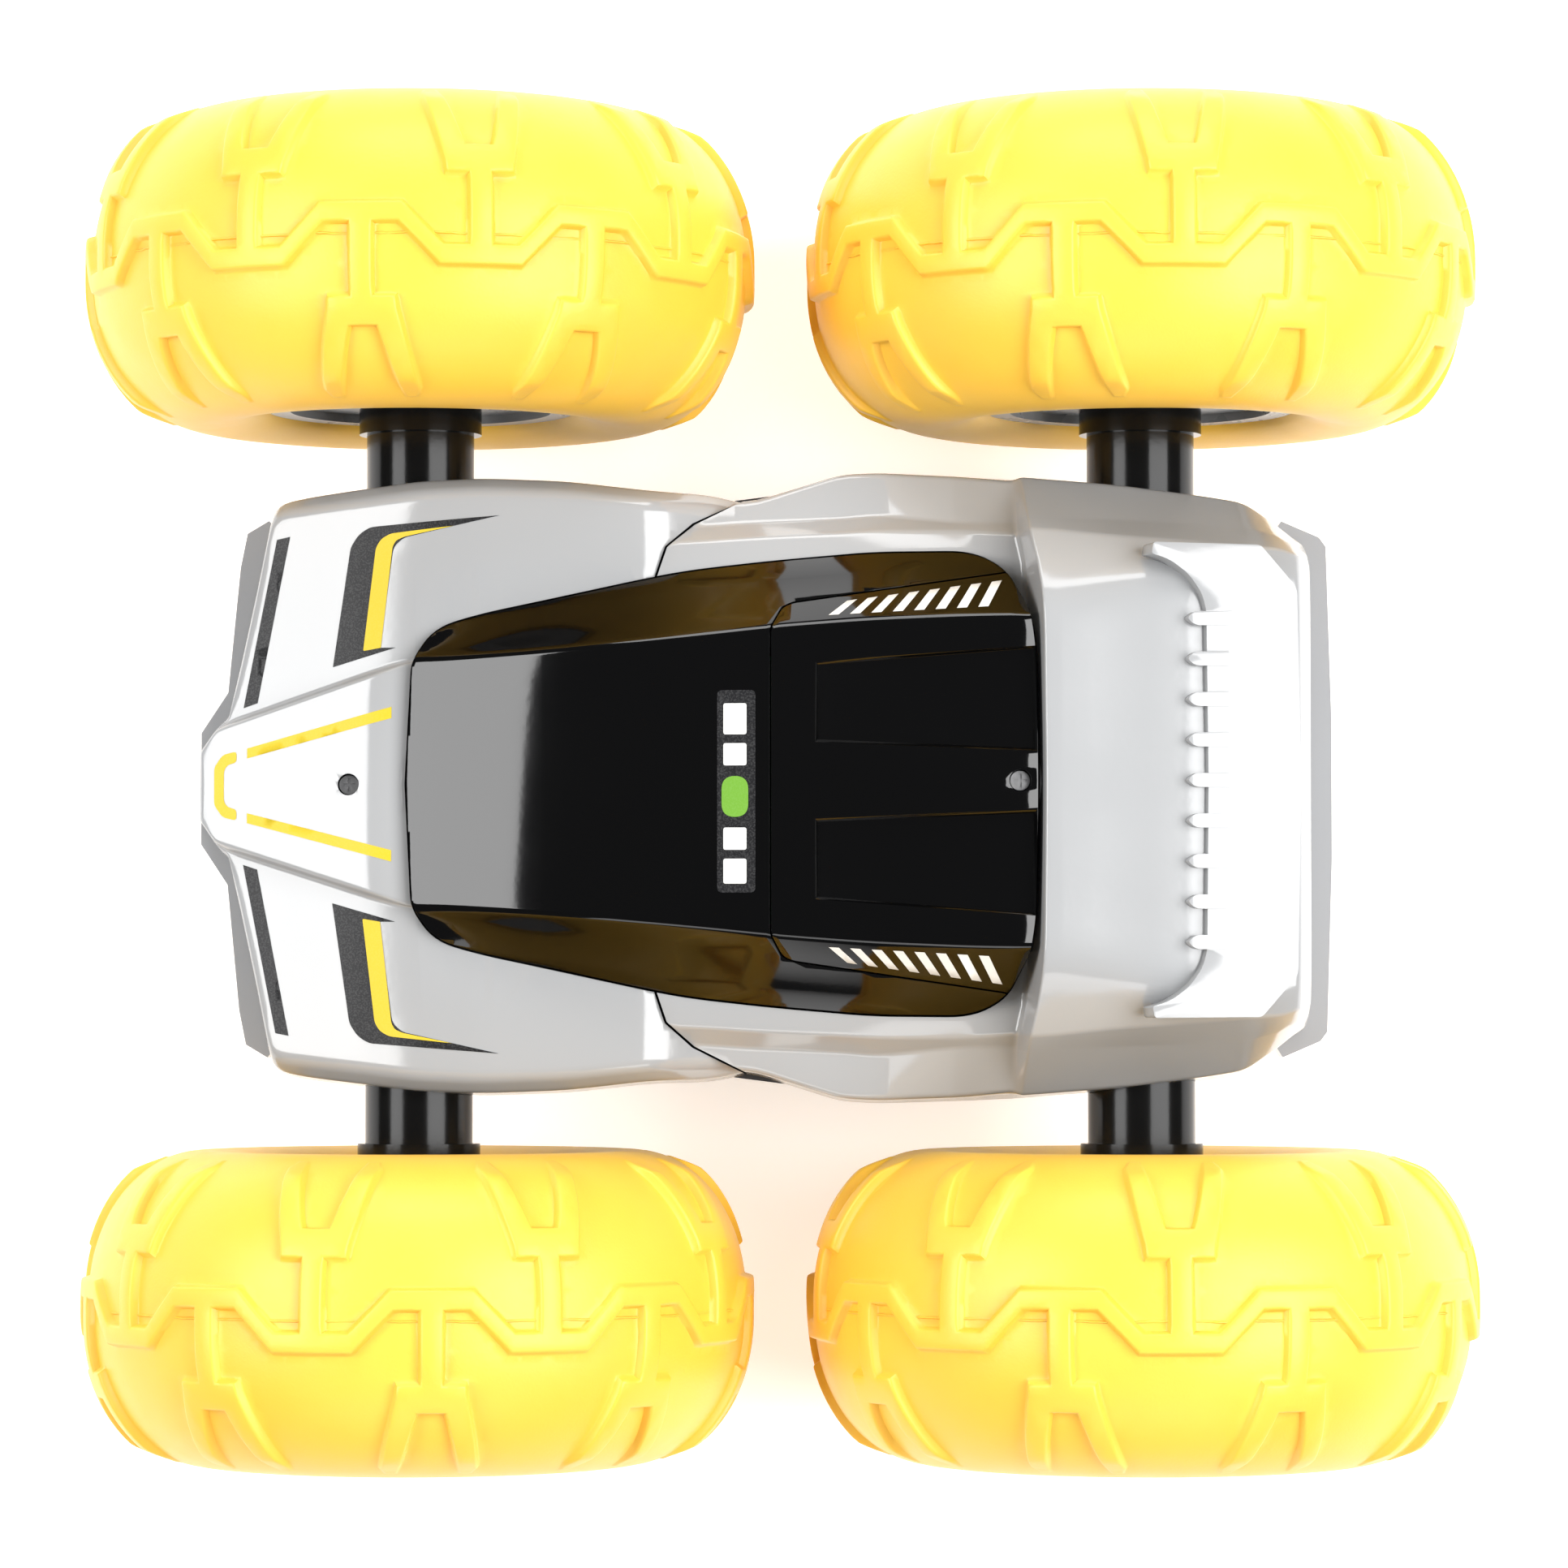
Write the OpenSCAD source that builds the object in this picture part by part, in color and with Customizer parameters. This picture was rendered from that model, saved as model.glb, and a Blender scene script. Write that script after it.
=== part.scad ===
// Radio-controlled stunt car: four driven wheels, each with its own motor and two-stage gearing,
// on a shell body. +X is the nose, +Y the left side, +Z up. The floor is z = 0 and x = 0 lies
// midway between the axles.

/* [Overall] */
// Outside diameter of a tyre over its tread
tyre_d = 156; // [126:1:162]
// Width of a tyre
tyre_w = 72; // [58:1:88]
// Distance between the front and rear axles
wheelbase = 168; // [160:1:210]
// Distance between the mid-planes of a left and a right wheel
track = 240; // [226:1:300]

/* [Body] */
// Widest body width at the waist
body_w = 146.6; // [140:0.2:166]
// Height of the hoop above the axle plane
body_h = 51; // [48:1:62]
// Depth of the lower shell below the axle plane
belly_h = 34; // [29:1:41]
// Wall thickness of every body shell
wall = 1.8; // [1:0.1:2.4]
// Gap between neighbouring body panels
panel_gap = 0.5; // [0.2:0.1:1]

/* [Tyres and rims] */
// Height of the tread above the carcass
tread_h = 2; // [1:0.1:3]
// Number of tread pitches around a tyre
pitches = 9; // [6:1:14]
// Wall thickness of the tyre carcass
tyre_wall = 3; // [2:0.1:4]
// Radius where the tyre sits on the rim
bead_r = 33; // [27:0.5:40]
// Number of pockets in the outer face of a wheel hub
rim_pockets = 6; // [4:1:9]

/* [Drive] */
// Gear module
gear_m = 0.5; // [0.4:0.05:0.6]
// Teeth on the motor pinion
pinion_teeth = 8; // [8:1:10]
// Teeth on the large compound gear
compound_teeth = 48; // [40:2:48]
// Teeth on the small compound gear
small_teeth = 10; // [10:2:12]
// Teeth on the output gear
output_teeth = 50; // [40:2:50]
// Radius of a drive shaft
shaft_r = 2; // [1.7:0.1:2.4]
// Radial running clearance of every turning shaft
run_gap = 0.05; // [0.02:0.01:0.08]
// Outside radius of an axle tube
tube_r = 12.5; // [10.5:0.5:15]
// Radius of a motor can
motor_r = 10; // [8.4:0.1:10.4]
// Length of a motor can
motor_len = 25; // [21:0.5:25]

/* [Battery and switch] */
// Length of the battery pack
battery_len = 60; // [50:1:72]
// Width of the battery pack
battery_w = 36; // [30:1:40]
// Height of the battery pack
battery_h = 14; // [12:0.5:15]
// Travel of the power switch
switch_travel = 4; // [3:0.5:5]

/* [Hidden] */
$fn = 64;
axle_z = tyre_d / 2;
half_base = wheelbase / 2;
floor_z = axle_z - belly_h;
width_s = body_w / 146.6;
top_s = body_h / 51;
belly_s = belly_h / 34;
core_r = bead_r + 0.38 * (tyre_d / 2 - bead_r);
bead_top = bead_r + 3.4;
rim_r = bead_r;
stage_1 = gear_m * (pinion_teeth + compound_teeth) / 2;
stage_2 = gear_m * (small_teeth + output_teeth) / 2;
comp_x = half_base - stage_2;
motor_x = comp_x - stage_1;
gear_y = 29.5;
plate_y = 26.6;
plate_t = 1.9;
housing_y = 42;
housing_t = 2;
housing_h = output_teeth * gear_m / 2 + 0.8 * gear_m + 0.5 + housing_t;
housing_front = half_base + housing_h;
housing_back = motor_x - motor_r - 0.5 - housing_t;
bush_r = shaft_r + 2;
bush_len = 4;
tube_end = track / 2 - tyre_w / 2 + 4.5;
rim_in = -tyre_w / 2 + 6;
rim_out = tyre_w / 2 - 6;
barrel_r = rim_r - 2.6;
hub_face = rim_out - 9;
door_x = battery_len / 2 + 6;
door_y = battery_w / 2 + 6;
hinge_z = floor_z + 1.2;
hinge_y = -door_y - 0.6;
nose_screw_x = half_base + 14.9;
roof_screw_x = -54 * half_base / 84;
corner_x = housing_front + 5.2;
corner_y = 44 * width_s;
post_r = 4.4;
board_z = floor_z + battery_h + 9;
bay_x = door_x + 3.2;
bay_y = door_y + 3.4;
bay_h = battery_h + 0.5;
switch_x = -80;
switch_y = 44;

body_grey = [0.50, 0.50, 0.49];
gloss_black = [0.06, 0.06, 0.07];
shell_black = [0.12, 0.12, 0.13];
tyre_yellow = [0.98, 0.66, 0.05];
nylon_white = [0.92, 0.92, 0.88];
steel = [0.72, 0.72, 0.74];
brass_tint = [0.80, 0.65, 0.30];

// ---------------------------------------------------------------- helpers

function unit(v) = v / norm(v);
function along(x) = abs(x) < 84 ? x * half_base / 84 : x + sign(x) * (half_base - 84);
function upper(x, y, z) = [along(x), y * width_s, axle_z + (z - 78) * top_s];
function row(x, half) = [for (p = half) [x, p[0], p[1]]];
function full_row(half) = concat(
  [for (i = [len(half) - 1 : -1 : 1]) upper(half[i][0], half[i][1], half[i][2])],
  [for (p = half) upper(p[0], -p[1], p[2])]
);
function grid_normal(g, i, j) =
  let (m = len(g) - 1, n = len(g[0]) - 1)
  unit(cross(g[min(i + 1, m)][j] - g[max(i - 1, 0)][j], g[i][min(j + 1, n)] - g[i][max(j - 1, 0)]));
function plan(pts) = [for (p = pts) [along(p[0]), p[1] * width_s]];
function both_sides(pts) = concat(pts, [for (i = [len(pts) - 1 : -1 : 0]) [pts[i][0], -pts[i][1]]]);

// A closed shell of even thickness under a grid of points
module sheet(g, t) {
  m = len(g);
  n = len(g[0]);
  mid = (n - 1) / 2;
  inner = [for (i = [0 : m - 1]) [for (j = [0 : n - 1]) g[i][j] - t * grid_normal(g, i, j)]];
  points = concat([for (r = g) each r], [for (r = inner) each r]);
  top = [for (i = [0 : m - 2]) for (j = [0 : n - 2])
    let (a = i * n + j, b = a + n, c = b + 1, d = a + 1)
    each (j < mid ? [[a, d, b], [d, c, b]] : [[a, d, c], [a, c, b]])];
  under = [for (f = top) [f[2] + m * n, f[1] + m * n, f[0] + m * n]];
  loop = concat(
    [for (j = [0 : n - 2]) j],
    [for (i = [0 : m - 2]) i * n + n - 1],
    [for (j = [n - 1 : -1 : 1]) (m - 1) * n + j],
    [for (i = [m - 1 : -1 : 1]) i * n]
  );
  sides = [for (k = [0 : len(loop) - 1])
    let (a = loop[k], b = loop[(k + 1) % len(loop)])
    each [[a, a + m * n, b + m * n], [a, b + m * n, b]]];
  polyhedron(points, concat(top, under, sides));
}

// A solid between two outlines that have the same number of corners
module loft(low, z_low, high, z_high) {
  n = len(low);
  points = concat([for (p = low) [p[0], p[1], z_low]], [for (p = high) [p[0], p[1], z_high]]);
  sides = [for (k = [0 : n - 1])
    let (q = (k + 1) % n)
    each [[k, k + n, q + n], [k, q + n, q]]];
  polyhedron(points, concat([[for (k = [0 : n - 1]) k]], [[for (k = [n - 1 : -1 : 0]) k + n]], sides));
}

module column(pts, z0, z1) {
  translate([0, 0, z0]) linear_extrude(z1 - z0) polygon(pts);
}

module rod(r, z0, z1) {
  translate([0, 0, z0]) cylinder(r = r, h = z1 - z0);
}

// Local z runs outward along the axle from the centre plane
module at_axle(end, side) {
  translate([end * half_base, 0, axle_z]) rotate([-90 * side, 0, 0]) children();
}

module at_wheel(end, side) {
  at_axle(end, side) translate([0, 0, track / 2]) children();
}

// ---------------------------------------------------------------- tyres

crown_half = tyre_w / 2;
function crown_r(v, top, half) =
  abs(v) < 7 ? top : core_r + (top - core_r) * pow(1 - pow((abs(v) - 7) / (half - 7), 2.2), 1 / 2.2);
function crown_arc(top, half, n) =
  [for (i = [-n : n])
    let (s = i < 0 ? -1 : 1, v = s * (7 + (half - 7) * sin(90 * abs(i) / n)))
    [abs(i) == n ? core_r : crown_r(v, top, half), v]];
function side_arc(half, bead_v, n) = concat(
  [for (i = [1 : n])
    let (f = i / n)
    [core_r - (core_r - bead_top) * f, bead_v + (half - bead_v) * sqrt(1 - f * f)]],
  [[bead_r, bead_v]]);
function carcass_line(top, half, bead_v, n) =
  concat(
    [for (p = [for (q = [n : -1 : 0]) side_arc(half, bead_v, n)[q]]) [p[0], -p[1]]],
    crown_arc(top, half, 7),
    side_arc(half, bead_v, n)
  );

module carcass_profile() {
  top = tyre_d / 2 - tread_h;
  outside = carcass_line(top, crown_half, rim_out - 0.2, 4);
  inside = carcass_line(top - tyre_wall, crown_half - tyre_wall, rim_out - 0.2 - tyre_wall, 4);
  polygon(concat(outside, [for (i = [len(inside) - 1 : -1 : 0]) inside[i]]));
}

// A raised tread bar between two distances from the mid-plane
module bar(v1, v2, angle, span) {
  top = tyre_d / 2;
  low = top - tread_h - 1;
  rotate([0, 0, angle - span / 2])
    rotate_extrude(angle = span)
      polygon([
        [crown_r(v1, top, crown_half + 0.8), v1],
        [crown_r(v2, top, crown_half + 0.8), v2],
        [crown_r(v2, low, crown_half - 0.6), v2],
        [crown_r(v1, low, crown_half - 0.6), v1]
      ]);
}

// One forked tread figure: zigzag rib, stem, head and two legs
module fork(side, angle) {
  pitch = 360 / pitches;
  edge = crown_half - 1.6;
  bar(side > 0 ? -6.8 : 2.6, side > 0 ? -2.6 : 6.8, angle, pitch * 0.3);
  bar(-6.8, 6.8, angle + pitch / 4, pitch * 0.09);
  bar(side > 0 ? -4 : -13.7, side > 0 ? 13.7 : 4, angle, 3.6);
  bar(side > 0 ? 13.5 : -19.5, side > 0 ? 19.5 : -13.5, angle, 11.4);
  for (leg = [-1, 1]) {
    bar(side > 0 ? 18.8 : -27, side > 0 ? 27 : -18.8, angle + leg * 5.2, 4.4);
    bar(side > 0 ? 26 : -edge, side > 0 ? edge : -26, angle + leg * 7.6, 4.6);
  }
}

module tyre(angle) {
  union() {
    rotate_extrude($fn = 96) carcass_profile();
    for (k = [0 : pitches - 1]) {
      fork(1, angle + 360 / pitches * k);
      fork(-1, angle + 360 / pitches * (k + 0.5));
    }
  }
}

module tyre_fl() { color(tyre_yellow) at_wheel(1, 1) tyre(-95.7); }
module tyre_fr() { color(tyre_yellow) at_wheel(1, -1) tyre(103.5); }
module tyre_rl() { color(tyre_yellow) at_wheel(-1, 1) tyre(-73); }
module tyre_rr() { color(tyre_yellow) at_wheel(-1, -1) tyre(93.9); }

// ---------------------------------------------------------------- rims and wheel nuts

// Barrel of the wheel, with a bead seat at each end
module rim() {
  rotate_extrude($fn = 96) polygon([
    [barrel_r, rim_in - 2], [rim_r + 2.6, rim_in - 2], [rim_r + 2.6, rim_in - 0.6], [rim_r, rim_in],
    [rim_r, rim_out], [rim_r + 2.6, rim_out + 0.6], [rim_r + 2.6, rim_out + 2], [barrel_r + 0.4, rim_out + 2],
    [barrel_r, hub_face + 3]
  ]);
}

module rim_fl() { color(body_grey) at_wheel(1, 1) rim(); }
module rim_fr() { color(body_grey) at_wheel(1, -1) rim(); }
module rim_rl() { color(body_grey) at_wheel(-1, 1) rim(); }
module rim_rr() { color(body_grey) at_wheel(-1, -1) rim(); }

// Hub sleeve with its inner web and its outer dish, which has blind pockets
module wheel_hub() {
  difference() {
    rotate_extrude($fn = 96) polygon([
      [shaft_r, rim_in], [barrel_r, rim_in], [barrel_r, rim_in + 2.5], [8, rim_in + 2.5], [7, rim_in + 3.5],
      [7, hub_face - 3], [8, hub_face - 2], [barrel_r, hub_face - 1.6], [barrel_r, hub_face + 2.5],
      [8, hub_face + 1], [7, hub_face + 1.6], [shaft_r, hub_face + 1.6]
    ]);
    for (k = [0 : rim_pockets - 1])
      rotate([0, 0, 360 / rim_pockets * k]) translate([19, 0, hub_face - 0.2]) cylinder(r = 6.2, h = 14);
  }
}

module wheel_hub_fl() { color(body_grey) at_wheel(1, 1) wheel_hub(); }
module wheel_hub_fr() { color(body_grey) at_wheel(1, -1) wheel_hub(); }
module wheel_hub_rl() { color(body_grey) at_wheel(-1, 1) wheel_hub(); }
module wheel_hub_rr() { color(body_grey) at_wheel(-1, -1) wheel_hub(); }

module wheel_nut() {
  base = hub_face + 1.6;
  difference() {
    union() {
      rod(4.6, base, base + 1);
      translate([0, 0, base + 0.5]) cylinder(r = 4.04, h = 4, $fn = 6);
    }
    rod(shaft_r, base - 1, base + 6);
  }
}

module wheel_nut_fl() { color(steel) at_wheel(1, 1) wheel_nut(); }
module wheel_nut_fr() { color(steel) at_wheel(1, -1) wheel_nut(); }
module wheel_nut_rl() { color(steel) at_wheel(-1, 1) wheel_nut(); }
module wheel_nut_rr() { color(steel) at_wheel(-1, -1) wheel_nut(); }

// ---------------------------------------------------------------- shafts and gears

module drive_shaft() {
  rod(shaft_r, plate_y + 0.3, track / 2 + rim_out - 1.6);
}

module drive_shaft_fl() { color(steel) at_axle(1, 1) drive_shaft(); }
module drive_shaft_fr() { color(steel) at_axle(1, -1) drive_shaft(); }
module drive_shaft_rl() { color(steel) at_axle(-1, 1) drive_shaft(); }
module drive_shaft_rr() { color(steel) at_axle(-1, -1) drive_shaft(); }

function roll(r, base) = r <= base ? 0 : tan(acos(base / r)) * 180 / PI - acos(base / r);
function half_tooth(r, z) =
  let (pitch_r = gear_m * z / 2, base = pitch_r * cos(20))
  90 / z - 0.045 / pitch_r * 180 / PI + roll(pitch_r, base) - roll(r, base);
function tooth_radii(z) =
  let (p = gear_m * z / 2)
  [p - 1.1 * gear_m, max(p * cos(20), p - 0.75 * gear_m), p, p + 0.45 * gear_m, p + 0.8 * gear_m];
function gear_line(z) =
  [for (k = [0 : z - 1]) each concat(
    [for (r = tooth_radii(z))
      let (a = 360 / z * k - half_tooth(r, z)) [r * cos(a), r * sin(a)]],
    [for (i = [4 : -1 : 0])
      let (r = tooth_radii(z)[i], a = 360 / z * k + half_tooth(r, z)) [r * cos(a), r * sin(a)]])];

module output_gear() {
  difference() {
    union() {
      column(gear_line(output_teeth), gear_y + 5, gear_y + 9);
      rod(4, gear_y + 4.6, gear_y + 9.6);
    }
    rod(shaft_r, gear_y - 1, gear_y + 12);
  }
}

module output_gear_fl() { color(nylon_white) at_axle(1, 1) output_gear(); }
module output_gear_fr() { color(nylon_white) at_axle(1, -1) output_gear(); }
module output_gear_rl() { color(nylon_white) at_axle(-1, 1) output_gear(); }
module output_gear_rr() { color(nylon_white) at_axle(-1, -1) output_gear(); }

module at_compound(end, side) {
  at_axle(end, side) translate([-end * stage_2, 0, 0]) children();
}

module compound_gear() {
  difference() {
    union() {
      column(gear_line(compound_teeth), gear_y, gear_y + 4);
      rotate([0, 0, 180 / small_teeth]) column(gear_line(small_teeth), gear_y + 3.5, gear_y + 9.4);
    }
    rod(1 + run_gap, gear_y - 1, gear_y + 11);
  }
}

module compound_gear_fl() { color(nylon_white) at_compound(1, 1) compound_gear(); }
module compound_gear_fr() { color(nylon_white) at_compound(1, -1) compound_gear(); }
module compound_gear_rl() { color(nylon_white) at_compound(-1, 1) compound_gear(); }
module compound_gear_rr() { color(nylon_white) at_compound(-1, -1) compound_gear(); }

module at_motor(end, side) {
  at_axle(end, side) translate([-end * (stage_1 + stage_2), 0, 0]) children();
}

module motor_pinion() {
  rotate([0, 0, 180 / pinion_teeth]) column(gear_line(pinion_teeth), gear_y, gear_y + 4);
  rod(1, plate_y - 9, gear_y + 4.6);
}

module motor_pinion_fl() { color(brass_tint) at_motor(1, 1) motor_pinion(); }
module motor_pinion_fr() { color(brass_tint) at_motor(1, -1) motor_pinion(); }
module motor_pinion_rl() { color(brass_tint) at_motor(-1, 1) motor_pinion(); }
module motor_pinion_rr() { color(brass_tint) at_motor(-1, -1) motor_pinion(); }

module motor() {
  difference() {
    union() {
      rod(motor_r, plate_y - motor_len, plate_y - 0.05);
      rod(3, plate_y - 1, plate_y + 1.2);
    }
    rod(1 + run_gap, plate_y - 10, plate_y + 3);
  }
}

module motor_fl() { color(steel) at_motor(1, 1) motor(); }
module motor_fr() { color(steel) at_motor(1, -1) motor(); }
module motor_rl() { color(steel) at_motor(-1, 1) motor(); }
module motor_rr() { color(steel) at_motor(-1, -1) motor(); }

module gear_pins() {
  color(steel)
    for (end = [-1, 1]) for (side = [-1, 1])
      at_compound(end, side) rod(1, plate_y + 0.2, housing_y - 0.6);
}

// ---------------------------------------------------------------- axle tubes

module axle_tube() {
  difference() {
    union() {
      rod(tube_r, housing_y + 0.1, tube_end);
      rod(tube_r + 1.75, tube_end - 6, tube_end);
    }
    rod(tube_r - 2, housing_y + 2.5, tube_end - bush_len);
    rod(shaft_r + 1.2, housing_y - 1, housing_y + 4);
    rod(bush_r, tube_end - bush_len - 1, tube_end + 1);
  }
}

module axle_tube_fl() { color(gloss_black) at_axle(1, 1) axle_tube(); }
module axle_tube_fr() { color(gloss_black) at_axle(1, -1) axle_tube(); }
module axle_tube_rl() { color(gloss_black) at_axle(-1, 1) axle_tube(); }
module axle_tube_rr() { color(gloss_black) at_axle(-1, -1) axle_tube(); }

module axle_bushes() {
  color(brass_tint)
    for (end = [-1, 1]) for (side = [-1, 1])
      at_axle(end, side)
        difference() {
          rod(bush_r, tube_end - bush_len, tube_end + 0.4);
          rod(shaft_r + run_gap, tube_end - bush_len - 1, tube_end + 1);
        }
}

// ---------------------------------------------------------------- gear housings

// Bores that the case and the lid share, on the axle plane
module housing_bores(end) {
  for (side = [-1, 1]) {
    at_axle(end, side) rod(shaft_r + run_gap, plate_y - 1, housing_y + 1);
    at_compound(end, side) rod(1.03, plate_y - 1, housing_y - 0.5);
    at_motor(end, side) rod(3.03, plate_y - 1, plate_y + plate_t + 1);
  }
}

module housing_half(end, z0, z1, skin) {
  x0 = min(end * housing_back, end * housing_front);
  x1 = max(end * housing_back, end * housing_front);
  in0 = z0 + (skin < 0 ? housing_t : -1);
  in1 = z1 + (skin > 0 ? -housing_t : 1);
  difference() {
    translate([x0, -housing_y, z0]) cube([x1 - x0, 2 * housing_y, z1 - z0]);
    translate([x0 + housing_t, -plate_y, in0])
      cube([x1 - x0 - 2 * housing_t, 2 * plate_y, in1 - in0]);
    for (side = [-1, 1])
      translate([x0 + housing_t, side > 0 ? plate_y + plate_t : -housing_y + housing_t, in0])
        cube([x1 - x0 - 2 * housing_t, housing_y - housing_t - plate_y - plate_t, in1 - in0]);
    housing_bores(end);
  }
}

module housing_case(end) {
  difference() {
    housing_half(end, axle_z - housing_h, axle_z - 0.05, -1);
    translate([end * (motor_x + 2), 0, axle_z - housing_h - 1]) cylinder(r = 3, h = 4);
  }
}

module front_gearbox_case() { color(shell_black) housing_case(1); }
module rear_gearbox_case() { color(shell_black) housing_case(-1); }

module housing_lid(end, post_x, post_top) {
  difference() {
    union() {
      housing_half(end, axle_z + 0.05, axle_z + housing_h, 1);
      translate([post_x, 0, axle_z + housing_h - 1]) cylinder(r = 3, h = post_top - axle_z - housing_h + 1);
    }
    translate([post_x, 0, post_top - 6]) cylinder(r = 1.2, h = 8);
  }
}

nose_z = axle_z + 24.0 * top_s;
roof_z = axle_z + 48.2 * top_s;

module front_gearbox_lid() { color(shell_black) housing_lid(1, nose_screw_x, nose_z - 5); }
module rear_gearbox_lid() { color(shell_black) housing_lid(-1, roof_screw_x, roof_z - 5); }

// ---------------------------------------------------------------- body outlines

canopy_side = [
  [85.4, 0], [84, 28.2], [60, 37.8], [40, 43.8], [29.5, 46.9], [20, 48.6], [2, 50.6], [-21, 52.6],
  [-44, 52.8], [-51.5, 48.4], [-56.2, 39], [-57.6, 30], [-58, 0]
];
function spread(pts, d) =
  [for (i = [0 : len(pts) - 1])
    let (
      a = pts[max(i - 1, 0)],
      b = pts[min(i + 1, len(pts) - 1)],
      t = unit([b[0] - a[0], b[1] - a[1]])
    )
    i == 0 ? pts[i] + [d, 0] : i == len(pts) - 1 ? pts[i] - [d, 0] : pts[i] + d * [t[1], -t[0]]];
engine_side = [[2, 0], [2, 34.6], [-0.6, 39.4], [-2.8, 40.4], [-11, 41.6], [-51.6, 47.6], [-53.5, 49], [-70, 49], [-70, 0]];
tail_side = [[140, 46.3], [29.2, 46.3], [26.4, 54.6], [20.2, 60.2], [8.4, 66.2], [8.4, 90], [140, 90]];
pod_side = [[29.2, 46.3], [26.4, 54.6], [20.2, 60.2], [8.4, 66.2], [8.4, 90], [-140, 90], [-140, 46.3]];

module canopy_column(d) {
  column(plan(both_sides(spread(canopy_side, d))), axle_z - 1, axle_z + body_h + 10);
}

module engine_column(d) {
  column(plan(both_sides(spread(engine_side, d))), axle_z + 20 * top_s, axle_z + body_h + 10);
}

module tube_arches(end) {
  translate([end * half_base, 0, axle_z]) rotate([90, 0, 0])
    cylinder(r = tube_r + 0.4, h = 2 * body_w, center = true);
}

// Row of the nose and fenders at station x: centre, nose edge, nose foot, fender mid, shoulder, waist
function fender_w(x) = lookup(x, [
  [8, 66.6], [15, 68.3], [30, 68.7], [49, 70.8], [68, 71.5], [83, 71], [110, 67.8], [116.6, 66.2],
  [118, 62], [121.2, 46], [124.4, 31], [127.6, 17], [130.4, 14.2], [134, 8.6]
]);
function fender_z(x) = lookup(x, [
  [8, 94], [15, 97], [29, 104.6], [68, 105], [83, 103], [100, 98.5], [117, 92], [127.6, 88.4], [134, 86]
]);
function nose_w(x) = lookup(x, [[8, 28], [84, 28], [130.4, 13], [134, 8]]);
function nose_top(x) = x > 84 ? 90 + 0.347 * (134 - x) : fender_z(x) + 0.6;
function shoulder(x) = lookup(x, [[8, 4], [110, 4], [116, 3.5], [118, 2.5], [134, 0.35]]);
function front_row(x) =
  let (w = fender_w(x), n = nose_w(x), z = fender_z(x), s = shoulder(x))
  row(x, [
    [0, nose_top(x) + 0.5], [n * 0.55, nose_top(x) + 0.25], [n, nose_top(x)],
    [min(n + 0.9, w - s * 1.3), min(z + 0.6, nose_top(x) - 0.5)],
    [max((n + w) / 2, w - s * 1.15 - 8), z + 0.5], [w - s, z], [w - s * 0.22, z - 4.6 * s / 4 - 1.2], [w, 78]
  ]);
front_stations = [134, 130.4, 127.6, 124.4, 121.2, 118, 116.6, 110, 100, 92, 83.5, 76, 68, 49, 30, 24, 16, 8];
front_grid = concat(
  [full_row([[134.4, 0, 79], [134.4, 4.4, 79], [134.4, 8, 79], [134.4, 8.15, 79],
    [134.4, 8.25, 79], [134.4, 8.35, 79], [134.4, 8.45, 78.6], [134.4, 8.6, 78]])],
  [for (x = front_stations) full_row(front_row(x))]
);

module screw_seat(x, top) {
  translate([x, 0, top - 4.9]) cylinder(r = 3.9, h = 4.3);
}

module screw_bore(x, top) {
  translate([x, 0, top - 3.7]) cylinder(r = 2.4, h = 8);
  translate([x, 0, top - 7]) cylinder(r = 1.3, h = 8);
}

module corner_posts(end, top) {
  for (side = [-1, 1])
    translate([end * corner_x, side * corner_y, axle_z + 0.3]) cylinder(r = post_r - 1, h = top - axle_z - 0.3);
}

module corner_pilots(end) {
  for (side = [-1, 1])
    translate([end * corner_x, side * corner_y, axle_z - 1]) cylinder(r = 1.3, h = 11);
}

module front_cover() {
  color(body_grey)
    difference() {
      union() {
        sheet(front_grid, wall);
        screw_seat(nose_screw_x, nose_z);
        corner_posts(1, axle_z + 17 * top_s);
      }
      canopy_column(panel_gap);
      for (side = [-1, 1])
        column(plan([for (p = pod_side) [p[0], side * p[1]]]), axle_z - 1, axle_z + body_h + 10);
      column([[-40, -90], [6, -90], [6, 90], [-40, 90]], axle_z - 1, axle_z + body_h + 10);
      screw_bore(nose_screw_x, nose_z);
      corner_pilots(1);
      tube_arches(1);
    }
}

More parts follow.
